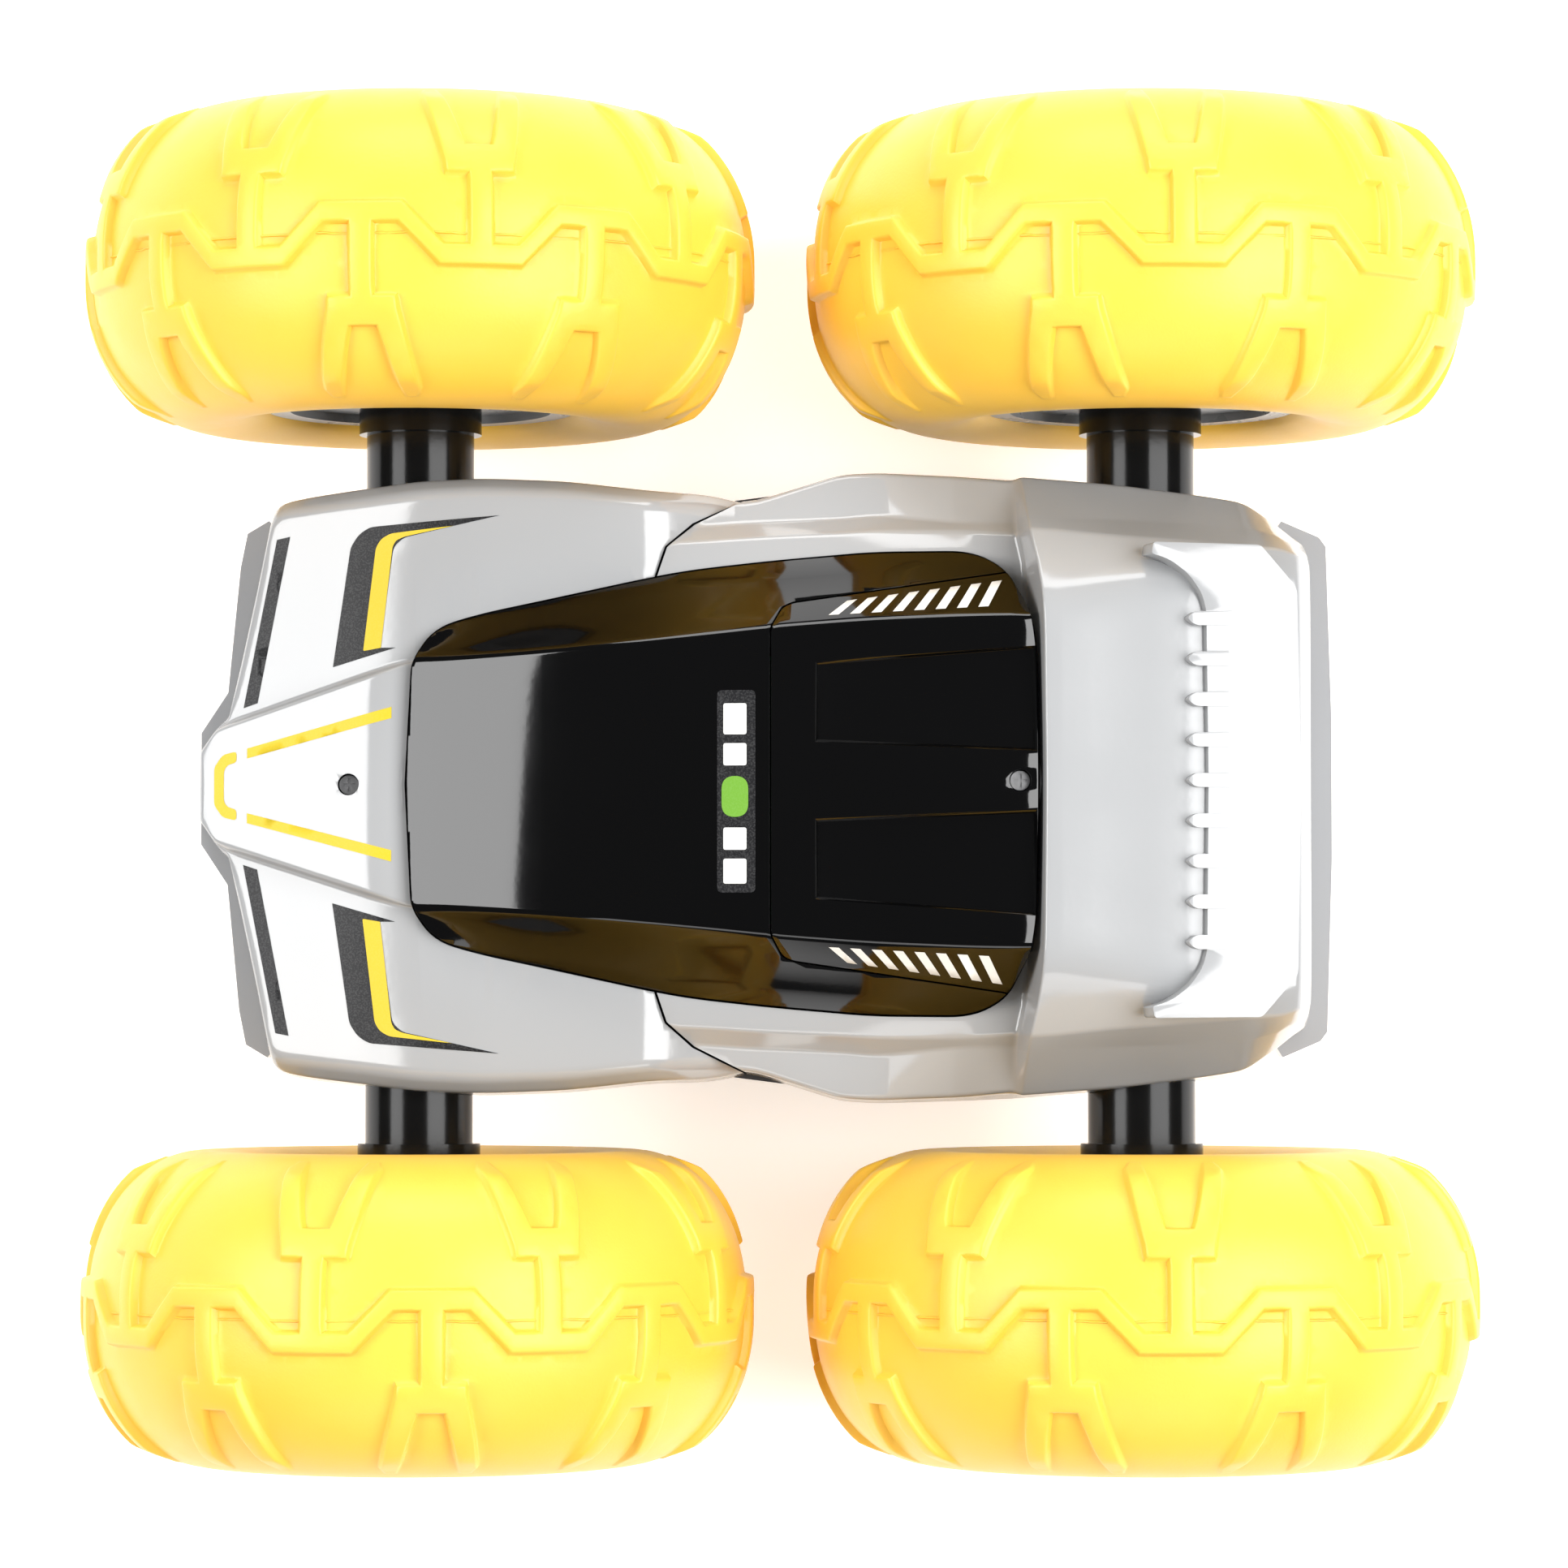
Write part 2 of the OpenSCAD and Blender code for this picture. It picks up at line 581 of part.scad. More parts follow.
// Rows of the pods, the hoop, the deck and the tail
rear_grid = [for (r = [
  row(26, [[0, 105], [40, 105], [50, 105], [55, 104], [59, 99], [67.4, 96.4], [68.5, 78]]),
  row(17, [[0, 105], [40, 105], [50, 105], [55.6, 104], [59.6, 98.3], [66.9, 96.2], [68, 78]]),
  row(8.2, [[0, 105], [40, 105], [50, 105.5], [56.3, 104], [60.2, 97.8], [64.9, 96], [65.7, 78]]),
  row(-3, [[0, 105], [40, 105], [51, 105.8], [57, 104], [60.8, 97.4], [68.4, 95.6], [69.4, 78]]),
  row(-13.9, [[0, 105], [40, 105], [52, 106], [57.5, 104], [61.3, 97], [71.8, 95], [72.8, 78]]),
  row(-22.4, [[0, 105], [40, 105], [52.5, 106.5], [58, 104], [62, 97.6], [72.2, 95], [73.3, 78]]),
  row(-42, [[0, 106], [40, 106], [53, 107], [58, 104.5], [60, 101.6], [71.5, 92.4], [72.7, 78]]),
  [[-57, 0, 108], [-56.6, 38, 108], [-55.6, 50, 108], [-54.2, 57, 107], [-54, 60, 103.4],
    [-53.2, 70.3, 95], [-53.2, 72.2, 78]],
  [[-59.7, 0, 129], [-59.3, 40.5, 129], [-58, 50, 122.9], [-56.5, 57.5, 118], [-56.2, 60.5, 113.3],
    [-55.6, 71.1, 96.4], [-55.6, 72.1, 78]],
  row(-62.5, [[0, 129], [40.4, 129], [50, 122.8], [57.2, 118], [60.3, 112.8], [70.6, 96], [71.5, 78]]),
  row(-77, [[0, 127.6], [42.9, 127.2], [50.2, 122.4], [55.7, 118.8], [60, 110.6], [69.5, 95.6], [70.4, 78]]),
  row(-92, [[0, 126.2], [46.2, 125.6], [50.4, 122.6], [54.7, 119], [59.5, 110], [67.7, 94.6], [68.9, 78]]),
  row(-107, [[0, 122.6], [46, 121.8], [50.2, 120.4], [53.4, 118.4], [58, 109], [65.4, 94], [66.8, 78]]),
  row(-113, [[0, 121], [44, 120.4], [49, 119.2], [53, 117.4], [56.6, 108.4], [61.4, 93.4], [62.4, 78]]),
  row(-117.6, [[0, 119.8], [40, 119.4], [46, 118.4], [51.4, 116.2], [54.4, 107.6], [57.8, 93], [58.6, 78]]),
  row(-121.2, [[0, 106], [38, 106], [44, 105.4], [49.6, 104], [52.4, 99.6], [55.4, 92], [56.4, 78]]),
  [[-122.6, 0, 78], [-122.6, 30, 78], [-122.5, 42, 78], [-122.4, 48, 78], [-122.2, 51, 78],
    [-121.9, 54, 78], [-121.6, 55.4, 78]]
]) full_row(r)];

rib_count = 9;
module deck_panel() {
  slope = 13.4;
  translate([along(-96.6), 0, axle_z + 49.8 * top_s])
    rotate([0, -slope, 0])
      union() {
        column([for (p = both_sides([
          [0.4, 0], [0.8, 38], [1.4, 41.8], [3.2, 46.6], [-12, 50.6], [-15.4, 49.2], [-21.8, 42.6], [-22, 0]
        ])) [p[0], p[1] * width_s]], -4.6, 0);
        for (k = [0 : rib_count - 1])
          translate([0, (k - (rib_count - 1) / 2) * 9.1 * width_s, -0.2])
            column([[5.4, 0], [3.6, -1.6], [-20.6, -1.6], [-20.6, 1.6], [3.6, 1.6]], 0, 1.3);
      }
}

module rear_cover() {
  color(body_grey)
    difference() {
      union() {
        sheet(rear_grid, wall);
        deck_panel();
        corner_posts(-1, axle_z + 43 * top_s);
      }
      canopy_column(panel_gap);
      for (side = [-1, 1])
        column(plan([for (p = grow_tail()) [p[0], side * p[1]]]), axle_z - 1, axle_z + body_h + 10);
      column([[14, -45], [140, -45], [140, 45], [14, 45]], axle_z - 1, axle_z + body_h + 10);
      corner_pilots(-1);
      tube_arches(-1);
    }
}
function grow_tail() = [for (p = tail_side) p + [-panel_gap, -panel_gap * 0.6]];

// Rows of the cabin roof: centre, roof mid, crease, side mid, lower edge
roof_grid = [for (r = [
  row(87, [[0, 106.3], [15, 106], [27.6, 105.6], [28.4, 104.4], [31, 103.4]]),
  row(84, [[0, 107.6], [15, 107.3], [28, 106.7], [29.6, 105.2], [33, 103.6]]),
  row(76, [[0, 111], [15.6, 110.7], [28.4, 109.9], [31.4, 106.9], [36, 103.9]]),
  row(62, [[0, 115.6], [16, 115.2], [29.4, 114.3], [34, 109.2], [40.4, 104.2]]),
  row(46, [[0, 119.6], [16.6, 119.2], [30.6, 118.2], [36.6, 111.4], [44.8, 104.4]]),
  row(30, [[0, 122.6], [17, 122.2], [32, 121.1], [39, 113], [48.8, 104.4]]),
  row(15, [[0, 124.8], [18, 124.4], [33.4, 123.2], [41, 114.4], [51.2, 104.6]]),
  row(2, [[0, 126], [19, 125.6], [34.8, 124.4], [42.6, 115], [52.8, 104.8]]),
  row(-20, [[0, 126.4], [20, 126], [36.4, 124.7], [44.6, 115.6], [54.8, 105.2]]),
  row(-44, [[0, 126.4], [20, 126], [37.4, 124.6], [45.2, 116.2], [55, 106]]),
  row(-60, [[0, 126.4], [20, 126], [37.6, 124.6], [45.4, 116.6], [55, 107]])
]) full_row(r)];

module canopy() {
  color(gloss_black)
    difference() {
      intersection() {
        sheet(roof_grid, wall);
        canopy_column(0);
      }
      engine_column(panel_gap);
    }
}

module engine_cover() {
  tilt = 1.9;
  color(gloss_black)
    difference() {
      union() {
        intersection() {
          sheet(roof_grid, wall);
          engine_column(0);
          canopy_column(0);
        }
        screw_seat(roof_screw_x, roof_z);
      }
      for (side = [-1, 1])
        translate([0, side * 8 * width_s, axle_z + 47.7 * top_s])
          rotate([-side * tilt, 0, 0])
            column([for (p = [[-7.5, 0.3], [-7.5, 19.2], [-9.5, 19.4], [-58, 22.8], [-58, -1.6], [-9.5, 0.3]])
              [along(p[0]), side * p[1] * width_s]], -0.2, 6);
      screw_bore(roof_screw_x, roof_z);
    }
}

// ---------------------------------------------------------------- lower shell and bumpers

belly_top = both_sides([
  [124, 0], [123.6, 16], [116.6, 56], [110, 65], [83, 68.5], [30, 67.2], [14, 66.8], [-20, 71.2], [-55, 70.2],
  [-92, 67], [-108, 63.4], [-118, 54], [-120.4, 20], [-120.4, 0]
]);
belly_low = both_sides([
  [114, 0], [113.6, 16], [110.8, 48], [102, 57], [80, 59], [30, 58.6], [14, 58.6], [-20, 60.6], [-55, 60.6],
  [-88, 58.8], [-104, 55], [-112, 46], [-114, 18], [-114, 0]
]);
function inset(pts, d) = [for (p = pts) [p[0] - d * sign(p[0]), p[1] - d * sign(p[1])]];
function ring_of(pts) = plan([for (i = [0 : len(pts) - 2]) if (pts[i] != pts[i + 1]) pts[i]]);

module battery_bay(side) {
  translate([-bay_x - 2, side > 0 ? bay_y : -bay_y - 2, floor_z + 0.5]) cube([2 * bay_x + 4, 2, bay_h]);
  for (end = [-1, 1]) {
    translate([end > 0 ? bay_x : -bay_x - 2, side > 0 ? 8 : -bay_y - 1, floor_z + 0.5]) cube([2, bay_y - 7, bay_h]);
    translate([end * 26, side * (bay_y + 1), floor_z + 0.5]) cylinder(r = 2.6, h = board_z - floor_z - 0.5);
    translate([end * 26, side * (bay_y + 1), board_z - 1]) cylinder(r = 1.2, h = 3.4);
  }
}

module lower_shell() {
  color(shell_black)
    difference() {
      union() {
        difference() {
          loft(ring_of(belly_low), floor_z, ring_of(belly_top), axle_z - 0.2);
          loft(ring_of(inset(belly_low, wall)), floor_z + 2, ring_of(inset(belly_top, wall)), axle_z);
        }
        for (side = [-1, 1]) {
          battery_bay(side);
          for (end = [-1, 1]) {
            translate([end * (half_base - 20), side * 30, floor_z + 0.5])
              cylinder(r = 4, h = axle_z - housing_h - floor_z - 0.6);
            translate([end * corner_x, side * corner_y, floor_z + 0.5]) cylinder(r = post_r, h = belly_h - 1.2);
          }
        }
        for (end = [-1, 1])
          translate([end > 0 ? door_x + 0.5 : -door_x - 3.5, hinge_y - 2.6, floor_z + 0.5]) cube([3, 5, 3.4]);
        translate([-6, door_y - 5.6, floor_z + 2.3]) cube([12, bay_y - door_y + 6.6, 2.2]);
      }
      translate([-door_x - 0.3, hinge_y - 1.5, floor_z - 1]) cube([2 * door_x + 0.6, door_y - hinge_y + 1.8, 3.2]);
      translate([-door_x - 3.1, hinge_y, hinge_z]) rotate([0, 90, 0]) cylinder(r = 0.85, h = 2 * door_x + 6.2);
      translate([0, door_y - 3, floor_z]) cylinder(r = 2.1, h = 8);
      translate([switch_x - 5.2, switch_y - 1.8, floor_z - 1]) cube([10.4, 3.6, 4]);
      for (end = [-1, 1]) {
        tube_arches(end);
        for (side = [-1, 1])
          translate([end * corner_x, side * corner_y, floor_z - 1]) {
            cylinder(r = 2.9, h = belly_h - 15);
            cylinder(r = 1.5, h = belly_h + 4);
          }
      }
    }
}

module front_bumper() {
  color(body_grey)
    column(plan(ring_plain([
      [135, 0], [135, 13], [128.8, 22.4], [126, 51.6], [124.4, 59.6], [119.4, 62.6], [116.6, 59], [119.4, 50],
      [124.2, 19], [124.6, 0]
    ])), axle_z - 15 * belly_s, axle_z - 1);
}

module rear_bumper() {
  color(body_grey)
    column(plan(ring_plain([
      [-128.6, 0], [-128.6, 16.4], [-127.4, 56.6], [-125.8, 58.8], [-117, 62.6], [-115.4, 60], [-118.8, 55],
      [-121.2, 20], [-121.2, 0]
    ])), axle_z - 12 * belly_s, axle_z - 1.6);
}
function ring_plain(pts) = concat(pts, [for (i = [len(pts) - 2 : -1 : 1]) [pts[i][0], -pts[i][1]]]);

// ---------------------------------------------------------------- battery, switch, electronics

module battery_pack() {
  color([0.15, 0.35, 0.75])
    translate([0, 0, floor_z + 3 + battery_h / 2]) cube([battery_len, battery_w, battery_h], center = true);
}

module battery_door() {
  color(shell_black)
    difference() {
      union() {
        translate([-door_x, hinge_y, floor_z]) cube([2 * door_x, door_y - hinge_y, 1.8]);
        translate([-door_x, hinge_y, hinge_z]) rotate([0, 90, 0]) cylinder(r = 1.15, h = 2 * door_x);
        translate([-door_x - 2.9, hinge_y, hinge_z]) rotate([0, 90, 0]) cylinder(r = 0.8, h = 2 * door_x + 5.8);
      }
      translate([0, door_y - 3, floor_z - 1]) cylinder(r = 1.5, h = 4);
      translate([0, door_y - 3, floor_z - 1]) cylinder(r = 2.6, h = 1.9);
    }
}

module door_screw() {
  color(steel)
    difference() {
      union() {
        translate([0, door_y - 3, floor_z + 0.1]) cylinder(r = 2.4, h = 0.8);
        translate([0, door_y - 3, floor_z + 0.5]) cylinder(r = 1.4, h = 3.2);
      }
      translate([0, door_y - 3, floor_z + 0.2]) cube([3, 0.6, 0.6], center = true);
      translate([0, door_y - 3, floor_z + 0.2]) cube([0.6, 3, 0.6], center = true);
    }
}

module circuit_board() {
  difference() {
    color([0.05, 0.35, 0.18])
      translate([-31, -bay_y - 4, board_z + 0.05]) cube([62, 2 * bay_y + 8, 1.6]);
    for (end = [-1, 1]) for (side = [-1, 1])
      translate([end * 26, side * (bay_y + 1), board_z - 1]) cylinder(r = 1.25, h = 4);
  }
  translate([0, 0, board_z + 1]) {
    color(gloss_black) translate([-8, -8, 0]) cube([12, 12, 2]);
    color(gloss_black) translate([12, 4, 0]) cube([9, 7, 2]);
    color(nylon_white) translate([-21, -20, 0]) cube([6, 9, 5]);
    color(nylon_white) translate([-21, 8, 0]) cube([6, 9, 5]);
    color(steel) translate([14, -14, 0]) cylinder(r = 3, h = 8);
  }
}

module switch_body() {
  color(gloss_black)
    difference() {
      translate([switch_x - 8, switch_y - 4, floor_z + 2]) cube([16, 8, 6]);
      translate([switch_x - 6.6, switch_y - 2.6, floor_z + 1]) cube([13.2, 5.2, 3.6]);
    }
}

module switch_knob() {
  x = switch_x - switch_travel / 2;
  color([0.85, 0.15, 0.10]) {
    translate([x - 4, switch_y - 2.4, floor_z + 2.1]) cube([8, 4.8, 2.2]);
    translate([x - 2.6, switch_y - 1.6, floor_z + 0.2]) cube([5.2, 3.2, 3]);
  }
}

module small_screw(head_r, head_h, shank_r, len) {
  difference() {
    union() {
      cylinder(r = head_r, h = head_h);
      translate([0, 0, -len]) cylinder(r = shank_r, h = len + 0.2);
    }
    translate([0, 0, head_h]) cube([head_r * 1.4, 0.7, 1], center = true);
    translate([0, 0, head_h]) cube([0.7, head_r * 1.4, 1], center = true);
  }
}

module body_screws() {
  color(steel) {
    translate([nose_screw_x, 0, nose_z - 3.7]) small_screw(2.2, 1.6, 1.2, 6.4);
    translate([roof_screw_x, 0, roof_z - 3.7]) small_screw(2.2, 1.6, 1.2, 6.4);
    for (end = [-1, 1]) for (side = [-1, 1])
      translate([end * corner_x, side * corner_y, axle_z - 16]) rotate([180, 0, 0])
        small_screw(2.6, 1.8, 1.3, 25);
  }
}

tyre_fl();
tyre_fr();
tyre_rl();
tyre_rr();
rim_fl();
wheel_hub_fl();
rim_fr();
wheel_hub_fr();
rim_rl();
wheel_hub_rl();
rim_rr();
wheel_hub_rr();
wheel_nut_fl();
wheel_nut_fr();
wheel_nut_rl();
wheel_nut_rr();
drive_shaft_fl();
drive_shaft_fr();
drive_shaft_rl();
drive_shaft_rr();
output_gear_fl();
output_gear_fr();
output_gear_rl();
output_gear_rr();
compound_gear_fl();
compound_gear_fr();
compound_gear_rl();
compound_gear_rr();
motor_pinion_fl();
motor_pinion_fr();
motor_pinion_rl();
motor_pinion_rr();
motor_fl();
motor_fr();
motor_rl();
motor_rr();
axle_tube_fl();
axle_tube_fr();
axle_tube_rl();
axle_tube_rr();
gear_pins();
axle_bushes();
front_gearbox_case();
front_gearbox_lid();
rear_gearbox_case();
rear_gearbox_lid();
lower_shell();
front_cover();
rear_cover();
canopy();
engine_cover();
front_bumper();
rear_bumper();
battery_pack();
battery_door();
door_screw();
circuit_board();
switch_body();
switch_knob();
body_screws();
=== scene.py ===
import math

import bmesh
import bpy
import numpy as np
from mathutils import Matrix, Vector
from mathutils.bvhtree import BVHTree
from mathutils.geometry import delaunay_2d_cdt


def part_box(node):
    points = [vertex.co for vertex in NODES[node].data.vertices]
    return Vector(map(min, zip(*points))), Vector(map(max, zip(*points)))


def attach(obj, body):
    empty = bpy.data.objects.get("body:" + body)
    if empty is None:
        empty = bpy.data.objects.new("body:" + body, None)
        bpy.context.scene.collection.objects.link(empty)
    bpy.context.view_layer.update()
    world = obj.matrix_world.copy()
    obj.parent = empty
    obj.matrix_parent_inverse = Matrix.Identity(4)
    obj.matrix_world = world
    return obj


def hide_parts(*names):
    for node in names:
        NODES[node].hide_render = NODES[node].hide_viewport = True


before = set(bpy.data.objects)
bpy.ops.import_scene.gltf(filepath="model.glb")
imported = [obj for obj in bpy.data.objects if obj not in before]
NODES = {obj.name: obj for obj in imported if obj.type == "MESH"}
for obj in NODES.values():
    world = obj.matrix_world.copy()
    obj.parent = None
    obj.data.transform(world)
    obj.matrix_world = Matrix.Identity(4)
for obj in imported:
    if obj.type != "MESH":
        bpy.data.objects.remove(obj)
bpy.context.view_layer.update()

CORNERS = (("fl", 1, 1), ("fr", 1, -1), ("rl", -1, 1), ("rr", -1, -1))
COLL = bpy.context.scene.collection


def span(node, axis):
    low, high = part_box(node)
    return low[axis] * 1000, high[axis] * 1000


# Every size below is in millimetres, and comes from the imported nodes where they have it.
TYRE_LOW, TYRE_HIGH = span("tyre_fl", 2)
TYRE_R = (TYRE_HIGH - TYRE_LOW) / 2
AXLE_Z = (TYRE_HIGH + TYRE_LOW) / 2
TYRE_IN, TYRE_OUT = span("tyre_fl", 1)
TYRE_HALF = (TYRE_OUT - TYRE_IN) / 2
WHEEL_Y = (TYRE_OUT + TYRE_IN) / 2
AXLE_X = sum(span("drive_shaft_fl", 0)) / 2
RIM_R = 33.0


# ------------------------------------------------------------------ materials

def new_material(name):
    m = bpy.data.materials.new(name)
    m.use_nodes = True
    nt = m.node_tree
    return m, nt, nt.nodes["Principled BSDF"]


def node(nt, kind, **values):
    n = nt.nodes.new(kind)
    for key, value in values.items():
        if key in n.inputs:
            n.inputs[key].default_value = value
        else:
            setattr(n, key, value)
    return n


def noise(nt, scale, detail=2.0, rough=0.5):
    tc = nt.nodes.get("coords") or node(nt, "ShaderNodeTexCoord", name="coords")
    n = node(nt, "ShaderNodeTexNoise", Scale=scale, Detail=detail, Roughness=rough)
    nt.links.new(tc.outputs["Object"], n.inputs["Vector"])
    return n


def ramp(nt, source, stops):
    r = node(nt, "ShaderNodeValToRGB")
    e = r.color_ramp.elements
    e[0].position, e[0].color = stops[0][0], (*stops[0][1], 1)
    e[1].position, e[1].color = stops[-1][0], (*stops[-1][1], 1)
    for at, colour in stops[1:-1]:
        e.new(at).color = (*colour, 1)
    nt.links.new(source, r.inputs["Fac"])
    return r


def bump(nt, bsdf, source, strength, distance):
    b = node(nt, "ShaderNodeBump", Strength=strength, Distance=distance)
    nt.links.new(source, b.inputs["Height"])
    nt.links.new(b.outputs["Normal"], bsdf.inputs["Normal"])
    return b


def plastic(name, colour, rough, spread=0.0, grain=0.0, grain_scale=900.0, tint=0.04, ior=1.5):
    """Moulded plastic: slight colour drift, uneven gloss and a fine grain."""
    m, nt, bsdf = new_material(name)
    drift = noise(nt, 14.0, 3.0)
    low = tuple(c * (1 - tint) for c in colour)
    high = tuple(min(1, c * (1 + tint)) for c in colour)
    colours = ramp(nt, drift.outputs["Fac"], [(0.3, low), (0.7, high)])
    nt.links.new(colours.outputs["Color"], bsdf.inputs["Base Color"])
    if spread:
        haze = noise(nt, 60.0, 4.0, 0.6)
        mr = node(nt, "ShaderNodeMapRange")
        mr.inputs["To Min"].default_value = max(0.02, rough - spread)
        mr.inputs["To Max"].default_value = rough + spread
        nt.links.new(haze.outputs["Fac"], mr.inputs["Value"])
        nt.links.new(mr.outputs["Result"], bsdf.inputs["Roughness"])
    else:
        bsdf.inputs["Roughness"].default_value = rough
    bsdf.inputs["IOR"].default_value = ior
    if grain:
        bump(nt, bsdf, noise(nt, grain_scale, 2.0).outputs["Fac"], grain, 0.0002)
    return m


def metal(name, colour, rough, stretch=(1, 1, 1)):
    """Turned or drawn metal with fine marks along one direction."""
    m, nt, bsdf = new_material(name)
    tc = node(nt, "ShaderNodeTexCoord", name="coords")
    mp = node(nt, "ShaderNodeMapping")
    mp.inputs["Scale"].default_value = stretch
    nt.links.new(tc.outputs["Object"], mp.inputs["Vector"])
    n = node(nt, "ShaderNodeTexNoise", Scale=900.0, Detail=3.0)
    nt.links.new(mp.outputs["Vector"], n.inputs["Vector"])
    low = tuple(c * 0.88 for c in colour)
    colours = ramp(nt, n.outputs["Fac"], [(0.35, low), (0.65, colour)])
    nt.links.new(colours.outputs["Color"], bsdf.inputs["Base Color"])
    bsdf.inputs["Metallic"].default_value = 1.0
    bsdf.inputs["Roughness"].default_value = rough
    bump(nt, bsdf, n.outputs["Fac"], 0.05, 0.0001)
    return m


def tyre_material():
    m, nt, bsdf = new_material("yellow_rubber")
    drift = noise(nt, 22.0, 4.0, 0.6)
    colours = ramp(nt, drift.outputs["Fac"], [(0.25, (0.80, 0.455, 0.043)), (0.75, (0.84, 0.49, 0.053))])
    nt.links.new(colours.outputs["Color"], bsdf.inputs["Base Color"])
    haze = noise(nt, 90.0, 4.0, 0.6)
    mr = node(nt, "ShaderNodeMapRange")
    mr.inputs["To Min"].default_value = 0.36
    mr.inputs["To Max"].default_value = 0.52
    nt.links.new(haze.outputs["Fac"], mr.inputs["Value"])
    nt.links.new(mr.outputs["Result"], bsdf.inputs["Roughness"])
    bsdf.inputs["IOR"].default_value = 1.46
    bsdf.inputs["Subsurface Weight"].default_value = 0.12
    bsdf.inputs["Subsurface Radius"].default_value = (0.004, 0.0022, 0.0005)
    bsdf.inputs["Subsurface Scale"].default_value = 1.0
    mix = node(nt, "ShaderNodeMath", operation="ADD")
    fine = noise(nt, 1500.0, 2.0)
    wide = noise(nt, 160.0, 3.0)
    nt.links.new(fine.outputs["Fac"], mix.inputs[0])
    nt.links.new(wide.outputs["Fac"], mix.inputs[1])
    bump(nt, bsdf, mix.outputs["Value"], 0.16, 0.0002)
    return m


def sticker_material(name, colour, rough=0.5, speckle=0.06):
    m, nt, bsdf = new_material(name)
    dots = noise(nt, 2600.0, 1.0)
    high = tuple(min(1, c + speckle) for c in colour)
    colours = ramp(nt, dots.outputs["Fac"], [(0.45, colour), (0.62, high)])
    nt.links.new(colours.outputs["Color"], bsdf.inputs["Base Color"])
    bsdf.inputs["Roughness"].default_value = rough
    bsdf.inputs["IOR"].default_value = 1.3
    return m


GREY = plastic("grey_shell", (0.30, 0.305, 0.31), 0.13, 0.03, 0.05, 700.0, tint=0.012, ior=1.56)
BLACK = plastic("gloss_black", (0.0014, 0.0014, 0.0015), 0.06, 0.02, 0.015, 500.0, tint=0.1, ior=1.46)
TUBE = plastic("tube_black", (0.004, 0.004, 0.004), 0.16, 0.04, 0.05, 700.0, tint=0.1, ior=1.3)
DARK = plastic("textured_black", (0.028, 0.028, 0.030), 0.42, 0.06, 0.3, 1400.0)
# The bumpers are the same grey plastic as the body. Their colour is a little lighter than GREY as painted
# light, standing in for the front and rear lights falling on them.
LIT_BUMPER = plastic("bumper_grey_painted_light", (0.33, 0.335, 0.345), 0.18, 0.03, 0.06, 800.0, tint=0.012)
RIM = plastic("rim_grey", (0.22, 0.225, 0.23), 0.28, 0.05, 0.1, 900.0)
NYLON = plastic("nylon", (0.86, 0.86, 0.82), 0.38, 0.05, 0.05, 900.0)
STEEL = metal("turned_steel", (0.62, 0.62, 0.63), 0.26, (1, 0.05, 1))
SCREW = metal("zinc_screw", (0.32, 0.32, 0.325), 0.4)
CAN = metal("motor_can", (0.64, 0.64, 0.65), 0.3, (1, 0.05, 1))
BRASS = metal("brass", (0.80, 0.60, 0.25), 0.28)
BATTERY = plastic("battery_wrap", (0.03, 0.12, 0.42), 0.2, 0.04, 0.1, 300.0)
BOARD = plastic("solder_mask", (0.015, 0.15, 0.06), 0.3, 0.05, 0.1, 2000.0)
RED = plastic("switch_red", (0.60, 0.03, 0.02), 0.3, 0.04, 0.05)
YELLOW = tyre_material()
INK = sticker_material("print_black", (0.006, 0.006, 0.007), 0.42, 0.02)
SUN = sticker_material("sticker_yellow", (0.52, 0.39, 0.02), 0.45, 0.01)
CHALK = sticker_material("sticker_white", (0.62, 0.62, 0.60), 0.4, 0.01)
LEAF = sticker_material("sticker_green", (0.12, 0.28, 0.03), 0.4, 0.01)


# ------------------------------------------------------------------ mesh helpers

def mesh_object(name, verts, faces, material, smooth=32.0):
    me = bpy.data.meshes.new(name)
    me.from_pydata([tuple(v) for v in np.asarray(verts, float) * 0.001], [], faces)
    me.validate()
    me.update()
    o = bpy.data.objects.new(name, me)
    COLL.objects.link(o)
    me.materials.append(material)
    finish_mesh(me, smooth)
    return o


def finish_mesh(me, smooth=32.0):
    me.polygons.foreach_set("use_smooth", [True] * len(me.polygons))
    me.set_sharp_from_angle(angle=math.radians(smooth))
    me.update()


def apply_modifiers(o):
    dg = bpy.context.evaluated_depsgraph_get()
    me = bpy.data.meshes.new_from_object(o.evaluated_get(dg))
    old = o.data
    o.modifiers.clear()
    o.data = me
    bpy.data.meshes.remove(old)


def cut(o, cutter, operation="DIFFERENCE"):
    cutter.data.materials[0] = o.data.materials[0]
    mod = o.modifiers.new("cut", "BOOLEAN")
    mod.operation = operation
    mod.solver = "MANIFOLD"
    mod.object = cutter
    apply_modifiers(o)
    me = cutter.data
    bpy.data.objects.remove(cutter)
    bpy.data.meshes.remove(me)


def weld(o):
    distance = 0.00001
    bm = bmesh.new()
    bm.from_mesh(o.data)
    bmesh.ops.remove_doubles(bm, verts=bm.verts, dist=distance)
    bmesh.ops.dissolve_degenerate(bm, dist=distance, edges=bm.edges)
    bmesh.ops.recalc_face_normals(bm, faces=bm.faces)
    bm.to_mesh(o.data)
    bm.free()


def soften(o, width, angle=42.0):
    """A small bevel along the sharp edges."""
    mod = o.modifiers.new("edge", "BEVEL")
    mod.width = width * 0.001
    mod.segments = 2
    mod.limit_method = "ANGLE"
    mod.angle_limit = math.radians(angle)
    mod.use_clamp_overlap = True
    apply_modifiers(o)
    finish_mesh(o.data, 25.0)


